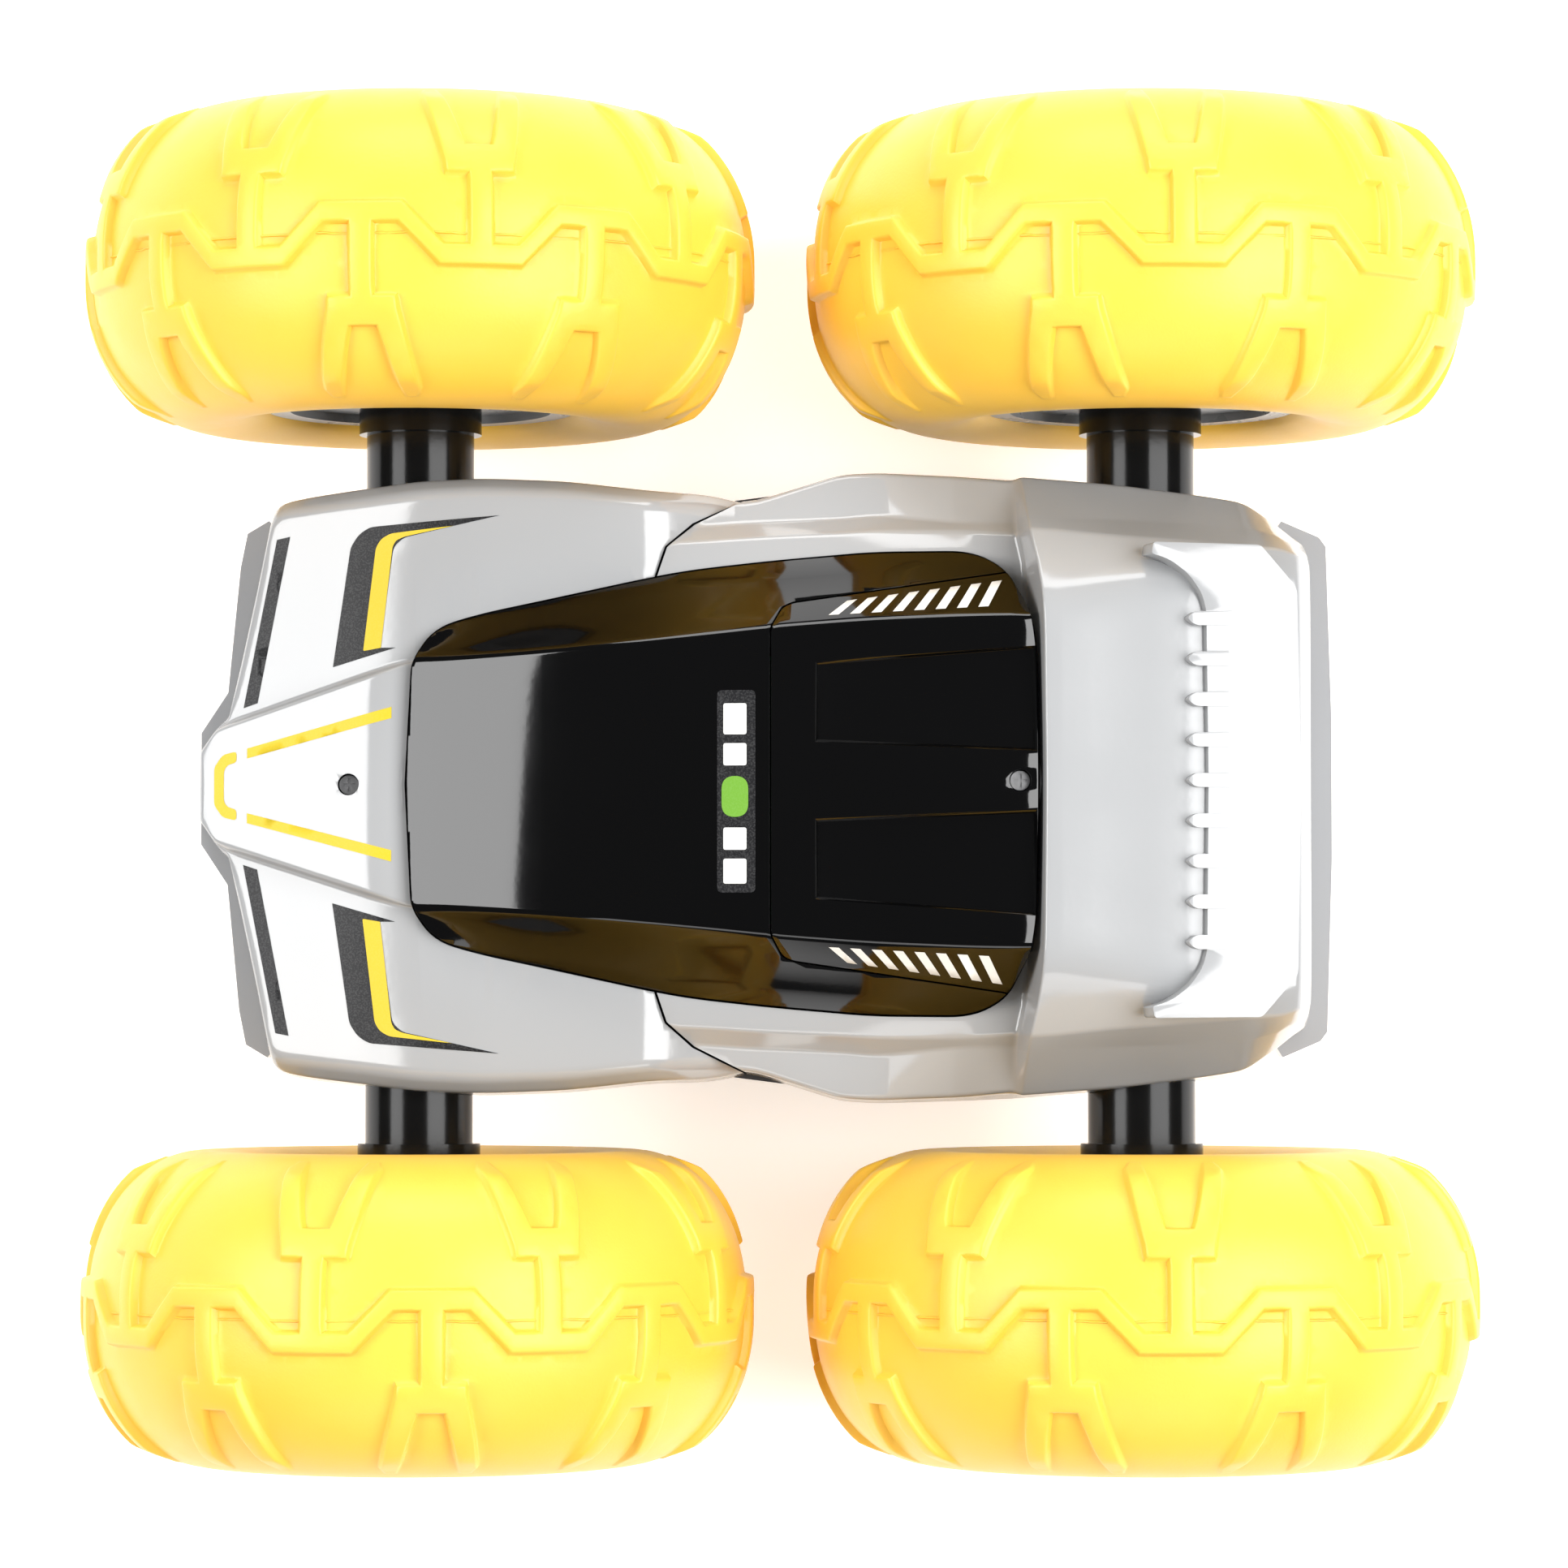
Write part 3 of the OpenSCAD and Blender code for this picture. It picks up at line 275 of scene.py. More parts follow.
def smooth_track(points, radii, n):
    """Rounds each inner corner of a polyline of point arrays by its radius, with n + 1 points a corner."""
    out = [points[0]]
    for i in range(1, len(points) - 1):
        a, b = points[i - 1] - points[i], points[i + 1] - points[i]
        la = np.maximum(np.linalg.norm(a, axis=-1, keepdims=True), 1e-6)
        lb = np.maximum(np.linalg.norm(b, axis=-1, keepdims=True), 1e-6)
        start = points[i] + a * np.minimum(0.5, radii[i] / la)
        end = points[i] + b * np.minimum(0.5, radii[i] / lb)
        for k in range(n + 1):
            s = k / n
            out.append((1 - s) ** 2 * start + 2 * s * (1 - s) * points[i] + s * s * end)
    out.append(points[-1])
    return np.array(out)


def shell(name, half_rows, across, along, wall, material, n_across=4, n_along=5):
    """A closed shell from half rows, centre to waist, with rounded corners across and along."""
    rows = []
    for half in half_rows:
        h = np.array(half, float)
        m = h[:0:-1].copy()
        full = np.vstack([m, h * [1, -1, 1]])
        radii = list(across[:0:-1]) + list(across)
        rows.append(smooth_track(full, radii, n_across))
    grid = smooth_track(np.array(rows), along, n_along)
    du = np.gradient(grid, axis=0)
    dv = np.gradient(grid, axis=1)
    nor = np.cross(du, dv)
    nor /= np.maximum(np.linalg.norm(nor, axis=2, keepdims=True), 1e-9)
    inner = grid - nor * wall
    m, n = grid.shape[:2]
    verts = np.vstack([grid.reshape(-1, 3), inner.reshape(-1, 3)])
    k = m * n
    faces = []
    for i in range(m - 1):
        for j in range(n - 1):
            a = i * n + j
            faces.append((a, a + n, a + n + 1, a + 1))
            faces.append((a + 1 + k, a + n + 1 + k, a + n + k, a + k))
    loop = [j for j in range(n - 1)] + [i * n + n - 1 for i in range(m - 1)]
    loop += [(m - 1) * n + j for j in range(n - 1, 0, -1)] + [i * n for i in range(m - 1, 0, -1)]
    for a, b in zip(loop, loop[1:] + loop[:1]):
        faces.append((a, b, b + k, a + k))
    o = mesh_object(name, verts, faces, material)
    weld(o)
    return o


def rounded(points, radius, n=6):
    """A closed outline with rounded corners. radius is one number or one per corner."""
    p = [np.array(q[:2], float) for q in points]
    r = [radius] * len(p) if np.isscalar(radius) else radius
    out = []
    for i in range(len(p)):
        a, b = p[i - 1] - p[i], p[(i + 1) % len(p)] - p[i]
        la, lb = np.linalg.norm(a), np.linalg.norm(b)
        if r[i] <= 0.01:
            out.append(p[i])
            continue
        s, e = p[i] + a * min(0.5, r[i] / la), p[i] + b * min(0.5, r[i] / lb)
        for k in range(n + 1):
            t = k / n
            out.append((1 - t) ** 2 * s + 2 * t * (1 - t) * p[i] + t * t * e)
    return out


def prism(name, outline, z0, z1, material=None):
    n = len(outline)
    pairs = zip(outline, outline[1:] + outline[:1])
    area = sum(a[0] * b[1] - b[0] * a[1] for a, b in pairs)
    if area < 0:
        outline = outline[::-1]
    verts = [(p[0], p[1], z0) for p in outline] + [(p[0], p[1], z1) for p in outline]
    faces = [tuple(range(n - 1, -1, -1)), tuple(range(n, 2 * n))]
    faces += [(i, (i + 1) % n, (i + 1) % n + n, i + n) for i in range(n)]
    return mesh_object(name, verts, faces, material or GREY)


def surface_tree(*objects):
    verts, faces = [], []
    for o in objects:
        base = len(verts)
        verts += [v.co.copy() for v in o.data.vertices]
        faces += [tuple(base + i for i in f.vertices) for f in o.data.polygons]
    return BVHTree.FromPolygons(verts, faces)


def drop(tree, x, y):
    """Height of the surface under a point, or None beside it."""
    above_the_car = 0.17
    hit = tree.ray_cast(Vector((x * 0.001, y * 0.001, above_the_car)), Vector((0, 0, -1)))
    return hit[0].z * 1000 if hit[0] else None


def decal(name, outline, tree, material, lift):
    """A thin sticker that follows the surface under it."""
    step, sunk = 2.2, 0.25
    ring = [np.array(p[:2], float) for p in outline]
    pts = [Vector(p) for p in resample(ring + ring[:1], 2.0)[:-1]]
    edges = [(i, (i + 1) % len(pts)) for i in range(len(pts))]
    poly = np.array([(p.x, p.y) for p in pts])
    xs = np.arange(poly[:, 0].min() + step / 2, poly[:, 0].max(), step)
    ys = np.arange(poly[:, 1].min() + step / 2, poly[:, 1].max(), step)
    for x in xs:
        for y in ys:
            if inside(poly, x, y) and edge_distance(poly, x, y) > 0.35 * step:
                pts.append(Vector((x, y)))
    v, _, f, _, _, _ = delaunay_2d_cdt(pts, edges, [], 0, 1e-5)
    keep = []
    for t in f:
        c = sum((v[i] for i in t), Vector((0, 0))) / 3
        if inside(poly, c.x, c.y):
            keep.append(tuple(t))
    heights = [drop(tree, p.x, p.y) for p in v]
    known = [h for h in heights if h is not None]
    if not known:
        return None
    heights = [h if h is not None else float(np.median(known)) for h in heights]
    n = len(v)
    verts = [(p.x, p.y, h + lift) for p, h in zip(v, heights)]
    verts += [(p.x, p.y, h - sunk) for p, h in zip(v, heights)]
    faces, sides = [], {}
    for a, b, c in keep:
        if (v[b] - v[a]).cross(v[c] - v[a]) < 0:
            a, b, c = a, c, b
        faces += [(a, b, c), (c + n, b + n, a + n)]
        sides.update(dict.fromkeys(((a, b), (b, c), (c, a))))
    for a, b in sides:
        if (b, a) not in sides:
            faces.append((b, a, a + n, b + n))
    o = mesh_object(name, verts, faces, material, 50.0)
    weld(o)
    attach(o, "chassis")
    return o


def inside(poly, x, y):
    px, py = poly[:, 0], poly[:, 1]
    qx, qy = np.roll(px, -1), np.roll(py, -1)
    cross = ((py > y) != (qy > y)) & (x < (qx - px) * (y - py) / np.where(qy == py, 1e-9, qy - py) + px)
    return bool(cross.sum() % 2)


def edge_distance(poly, x, y):
    p, q = poly, np.roll(poly, -1, axis=0)
    d = q - p
    t = np.clip(((np.array([x, y]) - p) * d).sum(1) / np.maximum((d * d).sum(1), 1e-9), 0, 1)
    return float(np.min(np.linalg.norm(p + d * t[:, None] - [x, y], axis=1)))


def keep_node(name, material, bevel=0.0):
    """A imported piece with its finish, and a small bevel where it has room."""
    o = NODES[name]
    o.data.materials.clear()
    o.data.materials.append(material)
    if bevel:
        mod = o.modifiers.new("edge", "BEVEL")
        mod.width = bevel * 0.001
        mod.segments = 2
        mod.limit_method = "ANGLE"
        mod.angle_limit = math.radians(40.0)


# ------------------------------------------------------------------ tyres

CORE_R = RIM_R + 0.38 * (TYRE_R - RIM_R)
TREAD_H = 2.0
HALF_PITCH = TYRE_R * math.radians(20)
LUG_END = 34.6


def crown_radius(v):
    v = abs(v)
    f = max(0.0, (v - 2.6) / (TYRE_HALF - 2.6))
    return CORE_R + (TYRE_R - TREAD_H - CORE_R) * math.sqrt(max(0.0, 1 - f * f))


def crown_table():
    """Arc length along the crown against distance from the mid-plane."""
    vs = TYRE_HALF * np.sin(np.linspace(0, math.pi / 2, 900))
    rs = np.array([crown_radius(v) for v in vs])
    s = np.concatenate([[0], np.cumsum(np.hypot(np.diff(vs), np.diff(rs)))])
    return vs, rs, s


CROWN_V, CROWN_R, CROWN_S = crown_table()


def arc_of(v):
    return math.copysign(float(np.interp(abs(v), CROWN_V, CROWN_S)), v)


def offset_chain(chain, d):
    """Offsets an open chain to its left by d with mitred corners. Its ends stay on their u."""
    p = [np.array(q, float) for q in chain]
    out = []
    for i in range(len(p)):
        t = []
        if i > 0:
            t.append((p[i] - p[i - 1]) / np.linalg.norm(p[i] - p[i - 1]))
        if i < len(p) - 1:
            t.append((p[i + 1] - p[i]) / np.linalg.norm(p[i + 1] - p[i]))
        ns = [np.array([-q[1], q[0]]) for q in t]
        m = sum(ns) / len(ns)
        m = m / np.linalg.norm(m)
        k = max(0.35, float(np.dot(m, ns[0])))
        q = p[i] + m * d / k
        if i in (0, len(p) - 1):
            q[0] = p[i][0]
            q[1] = p[i][1] + d * (1 if ns[0][1] > 0 else -1)
        out.append(q)
    return out


def resample(chain, step):
    out = [chain[0]]
    for a, b in zip(chain, chain[1:]):
        n = max(1, int(round(float(np.linalg.norm(b - a)) / step)))
        out += [a + (b - a) * k / n for k in range(1, n + 1)]
    return out


def tread_patch():
    """Half a pitch of the crown, unrolled: u along the tread, s across it, and a height for each point."""
    w = HALF_PITCH
    low = [(0, -6.8), (9.3, -6.8), (18.7, 2.6), (w - 2.5, 2.6), (w - 2.5, -13.6), (w - 7.75, -13.6),
           (w - 8.1, -16.0), (w - 13.6, -32.6), (w - 12.6, -34.2), (w - 9.6, -34.2), (w - 8.7, -33.0),
           (w - 3.4, -19.6), (w, -19.6)]
    high = [(w - u, -v) for u, v in low]
    chains = [[np.array([u, arc_of(v)]) for u, v in c] for c in (low, high)]
    steps = [(-0.55, 1.0), (-0.16, 0.93), (0.14, 0.70), (0.62, 0.08), (1.05, 0.0)]
    pts, edges, heights = [], [], []

    def add_chain(chain, h):
        chain = resample(chain, 2.0)
        start = len(pts)
        for q in chain:
            u = min(max(float(q[0]), 0.0), w)
            pts.append(Vector((u, float(q[1]))))
            heights.append(h)
        edges.extend((start + i, start + i + 1) for i in range(len(chain) - 1))

    outlines = []
    for c in chains:
        for d, h in steps:
            line = offset_chain(c, -d)
            add_chain(line, h)
            if d in (-0.55, 1.05):
                outlines.append((d, line))
    s_max = arc_of(TYRE_HALF)
    rows = np.linspace(-s_max, s_max, 61)
    cols = np.linspace(0, w, 13)
    raised = []
    for d in (-0.55, 1.05):
        lines = [l for dd, l in outlines if dd == d]
        raised.append(np.array([tuple(q) for q in lines[0]] + [tuple(q) for q in lines[1]]))
    fixed = np.array([(p.x, p.y) for p in pts])
    for i, u in enumerate(cols):
        for s in rows:
            on_edge = i in (0, len(cols) - 1) or s in (rows[0], rows[-1])
            gap = float(np.min(np.hypot(fixed[:, 0] - u, fixed[:, 1] - s)))
            if gap < (0.25 if on_edge else 1.0):
                continue
            u_in = u + (1e-4 if i == 0 else -1e-4 if i == 12 else 0)
            top, foot = inside(raised[0], u_in, s), inside(raised[1], u_in, s)
            if foot and not top:
                continue
            pts.append(Vector((float(u), float(s))))
            heights.append(1.0 if top else 0.0)
    border = [i for i, p in enumerate(pts) if p.x < 1e-6]
    other = [i for i, p in enumerate(pts) if p.x > w - 1e-6]
    for side in (border, other):
        side.sort(key=lambda i: pts[i].y)
        edges.extend((a, b) for a, b in zip(side, side[1:]))
    v, _, f, ov, _, _ = delaunay_2d_cdt(pts, edges, [], 0, 1e-5)
    out_h = []
    for k, p in enumerate(v):
        src = ov[k]
        if src:
            out_h.append(float(np.mean([heights[i] for i in src])))
        else:
            near = np.argsort(np.hypot(fixed[:, 0] - p.x, fixed[:, 1] - p.y))[:2]
            out_h.append(float(np.mean([heights[i] for i in near])))
    return v, f, out_h


def wrap(u, s, h):
    """From the unrolled crown to local space, with the axle along z."""
    a = abs(s)
    v = float(np.interp(a, CROWN_S, CROWN_V))
    r = float(np.interp(a, CROWN_S, CROWN_R))
    a2 = min(a + 0.05, CROWN_S[-1])
    a1 = max(0.0, a2 - 0.1)
    tv = np.interp(a2, CROWN_S, CROWN_V) - np.interp(a1, CROWN_S, CROWN_V)
    tr = np.interp(a2, CROWN_S, CROWN_R) - np.interp(a1, CROWN_S, CROWN_R)
    t = math.hypot(tv, tr) or 1
    nr, nv = tv / t, -tr / t
    rise = h * TREAD_H * min(1.0, max(0.2, (LUG_END - v) / 4.5))
    if a < arc_of(2.6):
        nr, nv = 1.0, 0.0
    r, v = r + nr * rise, v + nv * rise
    th = u / TYRE_R
    return (r * math.cos(th), r * math.sin(th), math.copysign(v, s))


def tyre_mesh():
    v, f, h = tread_patch()
    half = [wrap(p.x, p.y, hh) for p, hh in zip(v, h)]
    other = [(x, -y, z) for x, y, z in half]
    verts, faces = [], []
    for k in range(9):
        c, s = math.cos(math.radians(40 * k)), math.sin(math.radians(40 * k))
        for part, flip in ((half, False), (other, True)):
            base = len(verts)
            verts += [(x * c - y * s, x * s + y * c, z) for x, y, z in part]
            for t in f:
                t = tuple(base + i for i in t)
                faces.append(t[::-1] if flip else t)
    turns = 216
    bead_top = RIM_R + 3.4
    bead_v = TYRE_HALF - 6.2
    side = []
    for i in range(0, 11):
        q = i / 10
        bulge = (TYRE_HALF - bead_v) * math.sqrt(max(0, 1 - q * q))
        side.append((CORE_R - (CORE_R - bead_top) * q, bead_v + bulge))
    side += [(bead_top - 1.2, bead_v - 0.12), (RIM_R + 0.02, bead_v - 0.12),
             (RIM_R + 0.02, bead_v - 2.8), (bead_top, bead_v - 3.0)]
    wall = []
    for i in range(9, -1, -1):
        q = i / 10
        bulge = (TYRE_HALF - bead_v) * math.sqrt(max(0, 1 - q * q))
        wall.append((CORE_R - (CORE_R - bead_top) * q, bead_v - 3 + bulge))
    for i in range(1, 13):
        a = math.pi / 2 * i / 12
        vv = (TYRE_HALF - 3) * math.cos(a)
        k = max(0.0, (vv - 2.6) / (TYRE_HALF - 5.6))
        wall.append((CORE_R + (TYRE_R - TREAD_H - 3 - CORE_R) * math.sqrt(max(0, 1 - k * k)), vv))
    line = side + wall
    for sign in (1, -1):
        base = len(verts)
        for r, vv in line:
            for k in range(turns):
                a = 2 * math.pi * k / turns
                verts.append((r * math.cos(a), r * math.sin(a), sign * vv))
        for i in range(len(line) - 1):
            for k in range(turns):
                a, b = base + i * turns + k, base + i * turns + (k + 1) % turns
                q = (a, b, b + turns, a + turns)
                faces.append(q if sign > 0 else q[::-1])
    me = bpy.data.meshes.new("tyre_mesh")
    me.from_pydata([tuple(0.001 * c for c in p) for p in verts], [], faces)
    bm = bmesh.new()
    bm.from_mesh(me)
    bmesh.ops.remove_doubles(bm, verts=bm.verts, dist=0.00002)
    bmesh.ops.dissolve_degenerate(bm, dist=0.00001, edges=bm.edges)
    bmesh.ops.recalc_face_normals(bm, faces=bm.faces)
    flash(bm)
    bm.to_mesh(me)
    bm.free()
    me.materials.append(YELLOW)
    finish_mesh(me, 48.0)
    return me


def flash(bm):
    """The thin, uneven line of flash left by the two halves of the mould."""
    rng = np.random.default_rng(7)
    n = 720
    wave = np.convolve(np.concatenate([rng.normal(size=n)] * 3), np.ones(9) / 9, "same")[n:2 * n]
    rise = 0.32 + 0.5 * np.clip(wave, -0.5, 1.1)
    rings = []
    base = TYRE_R - TREAD_H
    for r, v in ((-0.6, -0.34), (0, -0.3), (1, -0.08), (1, 0.10), (0, 0.3), (-0.6, 0.34)):
        ring = []
        for k in range(n):
            a = 2 * math.pi * k / n
            rr = (base + (rise[k] if r > 0 else r)) * 0.001
            ring.append(bm.verts.new((rr * math.cos(a), rr * math.sin(a), (v + 0.18 * wave[k]) * 0.001)))
        rings.append(ring)
    for i in range(len(rings)):
        a, b = rings[i], rings[(i + 1) % len(rings)]
        for k in range(n):
            q = (k + 1) % n
            bm.faces.new((a[k], a[q], b[q], b[k]))


def wheel_place(end, side, phase):
    """Local z becomes the outward axle; phase is the tread angle from the top towards the rear."""
    turn = Matrix.Rotation(math.radians(-90 * side), 4, "X")
    spin = Matrix.Rotation(math.radians(-90 * side - side * phase), 4, "Z")
    at = Matrix.Translation((end * AXLE_X * 0.001, side * WHEEL_Y * 0.001, AXLE_Z * 0.001))
    return at @ turn @ spin


PHASES = {"fl": 5.7, "fr": 13.5, "rl": -17.0, "rr": 3.9}
tyre_data = tyre_mesh()
for corner, end, side in CORNERS:
    data = tyre_data.copy()
    data.transform(wheel_place(end, side, PHASES[corner]))
    tyre = bpy.data.objects.new("tyre_skin_" + corner, data)
    COLL.objects.link(tyre)
    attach(tyre, "wheel_" + corner)
    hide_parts("tyre_" + corner)

# ------------------------------------------------------------------ body shells

WALL = 1.8
GAP = 0.5
CUT_LOW, CUT_TOP = 70, 150
TUBE_R = (span("axle_tube_fl", 2)[1] - span("axle_tube_fl", 2)[0]) / 2 - 1.75
CANOPY = [(85.4, 0), (84, 28.2), (79, 35.4), (69, 38.4), (52, 42), (29.5, 46.9), (20, 48.6), (2, 50.6),
          (-21, 52.6), (-44, 52.8), (-51.5, 48.4), (-56.2, 39), (-57.6, 30), (-58, 0)]
ENGINE = [(2, 0), (2, 34.6), (-0.6, 39.4), (-2.8, 40.4), (-11, 41.6), (-51.6, 47.6), (-53.5, 49),
          (-70, 49), (-70, 0)]
TAIL = [(140, 46.3), (29.2, 46.3), (26.4, 54.6), (20.2, 60.2), (8.4, 66.2), (8.4, 90), (140, 90)]
POD = [(29.2, 46.3), (26.4, 54.6), (20.2, 60.2), (8.4, 66.2), (8.4, 90), (-140, 90), (-140, 46.3)]


def spread(points, d):
    """Moves a half outline outwards by d."""
    out = []
    for i, p in enumerate(points):
        a = np.array(points[max(i - 1, 0)], float)
        b = np.array(points[min(i + 1, len(points) - 1)], float)
        t = (b - a) / np.linalg.norm(b - a)
        if i == 0:
            out.append((p[0] + d, p[1]))
        elif i == len(points) - 1:
            out.append((p[0] - d, p[1]))
        else:
            out.append((p[0] + d * t[1], p[1] - d * t[0]))
    return out


def both_sides(half):
    """A closed outline from a half outline that starts and ends on the centre line."""
    return [tuple(p) for p in half] + [(p[0], -p[1]) for p in reversed(half) if abs(p[1]) > 1e-6]


def canopy_prism(d):
    line = both_sides(spread(CANOPY, d))
    corner = {1: 3, 2: 5, 10: 3.5, 11: 2.5, 15: 2.5, 16: 3.5, 24: 5, 25: 3}
    radii = [corner.get(i, 6.0 if 0 < i < len(line) else 0) for i in range(len(line))]
    return prism("cutter", rounded(line, radii), CUT_LOW, CUT_TOP)


def engine_prism(d):
    line = both_sides(spread(ENGINE, d))
    return prism("cutter", rounded(line, [1.2 if abs(p[1]) > 1 else 0 for p in line]), 98, CUT_TOP)


def side_prism(points, side):
    return prism("cutter", [(p[0], side * p[1]) for p in points], CUT_LOW, CUT_TOP)


def box_prism(x0, x1, y0, y1):
    return prism("cutter", [(x0, y0), (x1, y0), (x1, y1), (x0, y1)], CUT_LOW, CUT_TOP)


def arch(end):
    """Clears the axle tubes on both sides of one end."""
    n = 48
    verts, faces = [], []
    for y in (-95, 95):
        for k in range(n):
            a = 2 * math.pi * k / n
            r = TUBE_R + 0.6
            verts.append((end * AXLE_X + r * math.cos(a), y, AXLE_Z + r * math.sin(a)))
    faces = [tuple(range(n - 1, -1, -1)), tuple(range(n, 2 * n))]
    faces += [(i, (i + 1) % n, (i + 1) % n + n, i + n) for i in range(n)]
    o = mesh_object("cutter", verts, faces, GREY)
    weld(o)
    return o


def look(x, table):
    xs, ys = zip(*table)
    return float(np.interp(x, xs, ys))


def front_row(x):
    """Half a row of the nose and fenders: centre, nose edge, nose foot, fender, shoulder, waist."""
    w = look(x, [(8, 66.6), (15, 68.3), (30, 68.7), (49, 70.8), (68, 71.5), (83, 71), (110, 67.8),
                 (116.6, 66.2), (118, 62), (121.2, 46), (124.4, 31), (127.6, 17), (130.4, 14.2), (134, 8.6)])
    z = look(x, [(8, 91.6), (15, 95.4), (29, 104.6), (68, 105), (83, 103), (100, 98.5), (117, 92),
                 (127.6, 88.4), (134, 86)])
    n = look(x, [(8, 28), (84, 28), (130.4, 13), (134, 8)])
    s = look(x, [(8, 4), (110, 4), (116, 3.5), (118, 2.5), (134, 0.35)])
    top = 90 + 0.347 * (134 - x) if x > 84 else z + 0.6
    pts = [(0, top + 0.5), (n * 0.55, top + 0.25), (n, top),
           (min(n + 0.9, w - s * 1.3), min(z + 0.6, top - 0.5)),
           (max((n + w) / 2, w - s * 1.15 - 8), z + 0.5), (w - s, z),
           (w - s * 0.22, z - 4.6 * s / 4 - 1.2), (w, 78)]
    return [(x, y, h) for y, h in pts]


FRONT_X = [134, 130.4, 127.6, 124.4, 121.2, 118, 116.6, 110, 100, 92, 83.5, 76, 68, 49, 30, 24, 16, 8]
NOSE_TIP = ((0, 79), (4.4, 79), (8, 79), (8.15, 79), (8.25, 79), (8.35, 79), (8.45, 78.6), (8.6, 78))
FRONT = [[(134.4, y, z) for y, z in NOSE_TIP]]
FRONT += [front_row(x) for x in FRONT_X]


def flat_row(x, pts):
    return [(x, y, z) for y, z in pts]


REAR = [
    flat_row(31, [(0, 105), (40, 105), (50, 105), (55, 104), (59, 99), (67.4, 96.4), (68.5, 78)]),
    flat_row(17, [(0, 105), (40, 105), (50, 105), (55.6, 104), (59.6, 98.3), (66.9, 96.2), (68, 78)]),
    flat_row(8.2, [(0, 105), (40, 105), (50, 105.5), (56.3, 104), (60.2, 97.8), (64.9, 96), (65.7, 78)]),
    flat_row(-3, [(0, 105), (40, 105), (51, 105.8), (57, 104), (60.8, 97.4), (68.4, 95.6), (69.4, 78)]),
    flat_row(-13.9, [(0, 105), (40, 105), (52, 106), (57.5, 104), (61.3, 97), (71.8, 95), (72.8, 78)]),
    flat_row(-22.4, [(0, 105), (40, 105), (52.5, 106.5), (58, 104), (62, 97.6), (72.2, 95), (73.3, 78)]),
    flat_row(-42, [(0, 106), (40, 106), (53, 107), (58, 104.5), (60, 101.6), (71.5, 92.4), (72.7, 78)]),
    [(-57, 0, 108), (-56.6, 38, 108), (-55.6, 50, 108), (-54.2, 57, 107), (-54, 60, 103.4),
     (-53.2, 70.3, 95), (-53.2, 72.2, 78)],
    [(-59.7, 0, 129), (-59.3, 40.5, 129), (-58, 50, 122.9), (-56.5, 57.5, 118), (-56.2, 60.5, 113.3),
     (-55.6, 71.1, 96.4), (-55.6, 72.1, 78)],
    flat_row(-62.5, [(0, 129), (40.4, 129), (50, 122.8), (57.2, 118), (60.3, 112.8), (70.6, 96),
                     (71.5, 78)]),
    flat_row(-77, [(0, 127.6), (42.9, 127.2), (50.2, 122.4), (55.7, 118.8), (60, 110.6),
                   (69.5, 95.6), (70.4, 78)]),
    flat_row(-97, [(0, 126.1), (46.1, 125.4), (50.3, 122.3), (54.3, 118.9), (59, 109.7),
                   (67, 94.4), (68.2, 78)]),
    flat_row(-107, [(0, 122.6), (46, 121.8), (50.2, 120.4), (53.4, 118.4), (58, 109), (65.4, 94),
                    (66.8, 78)]),
    flat_row(-113, [(0, 121), (44, 120.4), (49, 119.2), (53, 117.4), (56.6, 108.4), (61.4, 93.4),
                    (62.4, 78)]),
    flat_row(-117.6, [(0, 119.8), (40, 119.4), (46, 118.4), (51.4, 116.2), (54.4, 107.6),
                      (57.8, 93), (58.6, 78)]),
    flat_row(-121.2, [(0, 106), (38, 106), (44, 105.4), (49.6, 104), (52.4, 99.6), (55.4, 92),
                      (56.4, 78)]),
    [(-122.6, 0, 78), (-122.6, 30, 78), (-122.5, 42, 78), (-122.4, 48, 78), (-122.2, 51, 78),
     (-121.9, 54, 78), (-121.6, 55.4, 78)],
]
ROOF = [
    flat_row(87, [(0, 106.3), (15, 106), (27.6, 105.6), (29.4, 104.4), (37, 103.4)]),
    flat_row(84, [(0, 107.6), (15, 107.3), (28, 106.7), (30.6, 105.2), (38.5, 103.5)]),
    flat_row(76, [(0, 111), (15.6, 110.7), (28.4, 109.9), (32.4, 106.9), (40.5, 103.6)]),
    flat_row(62, [(0, 115.6), (16, 115.2), (29.4, 114.3), (34.6, 109.2), (43, 103.9)]),
    flat_row(46, [(0, 119.6), (16.6, 119.2), (30.6, 118.2), (36.6, 111.4), (46, 104.2)]),
    flat_row(30, [(0, 122.6), (17, 122.2), (32, 121.1), (39, 113), (48.8, 104.4)]),
    flat_row(15, [(0, 124.8), (18, 124.4), (33.4, 123.2), (41, 114.4), (51.2, 104.6)]),
    flat_row(2, [(0, 126), (19, 125.6), (34.8, 124.4), (42.6, 115), (52.8, 104.8)]),
    flat_row(-20, [(0, 126.4), (20, 126), (36.4, 124.7), (44.6, 115.6), (54.8, 105.2)]),
    flat_row(-44, [(0, 126.4), (20, 126), (37.4, 124.6), (45.2, 116.2), (55, 106)]),
    flat_row(-72, [(0, 126.4), (20, 126), (37.6, 124.6), (45.4, 116.6), (55, 107)]),
]

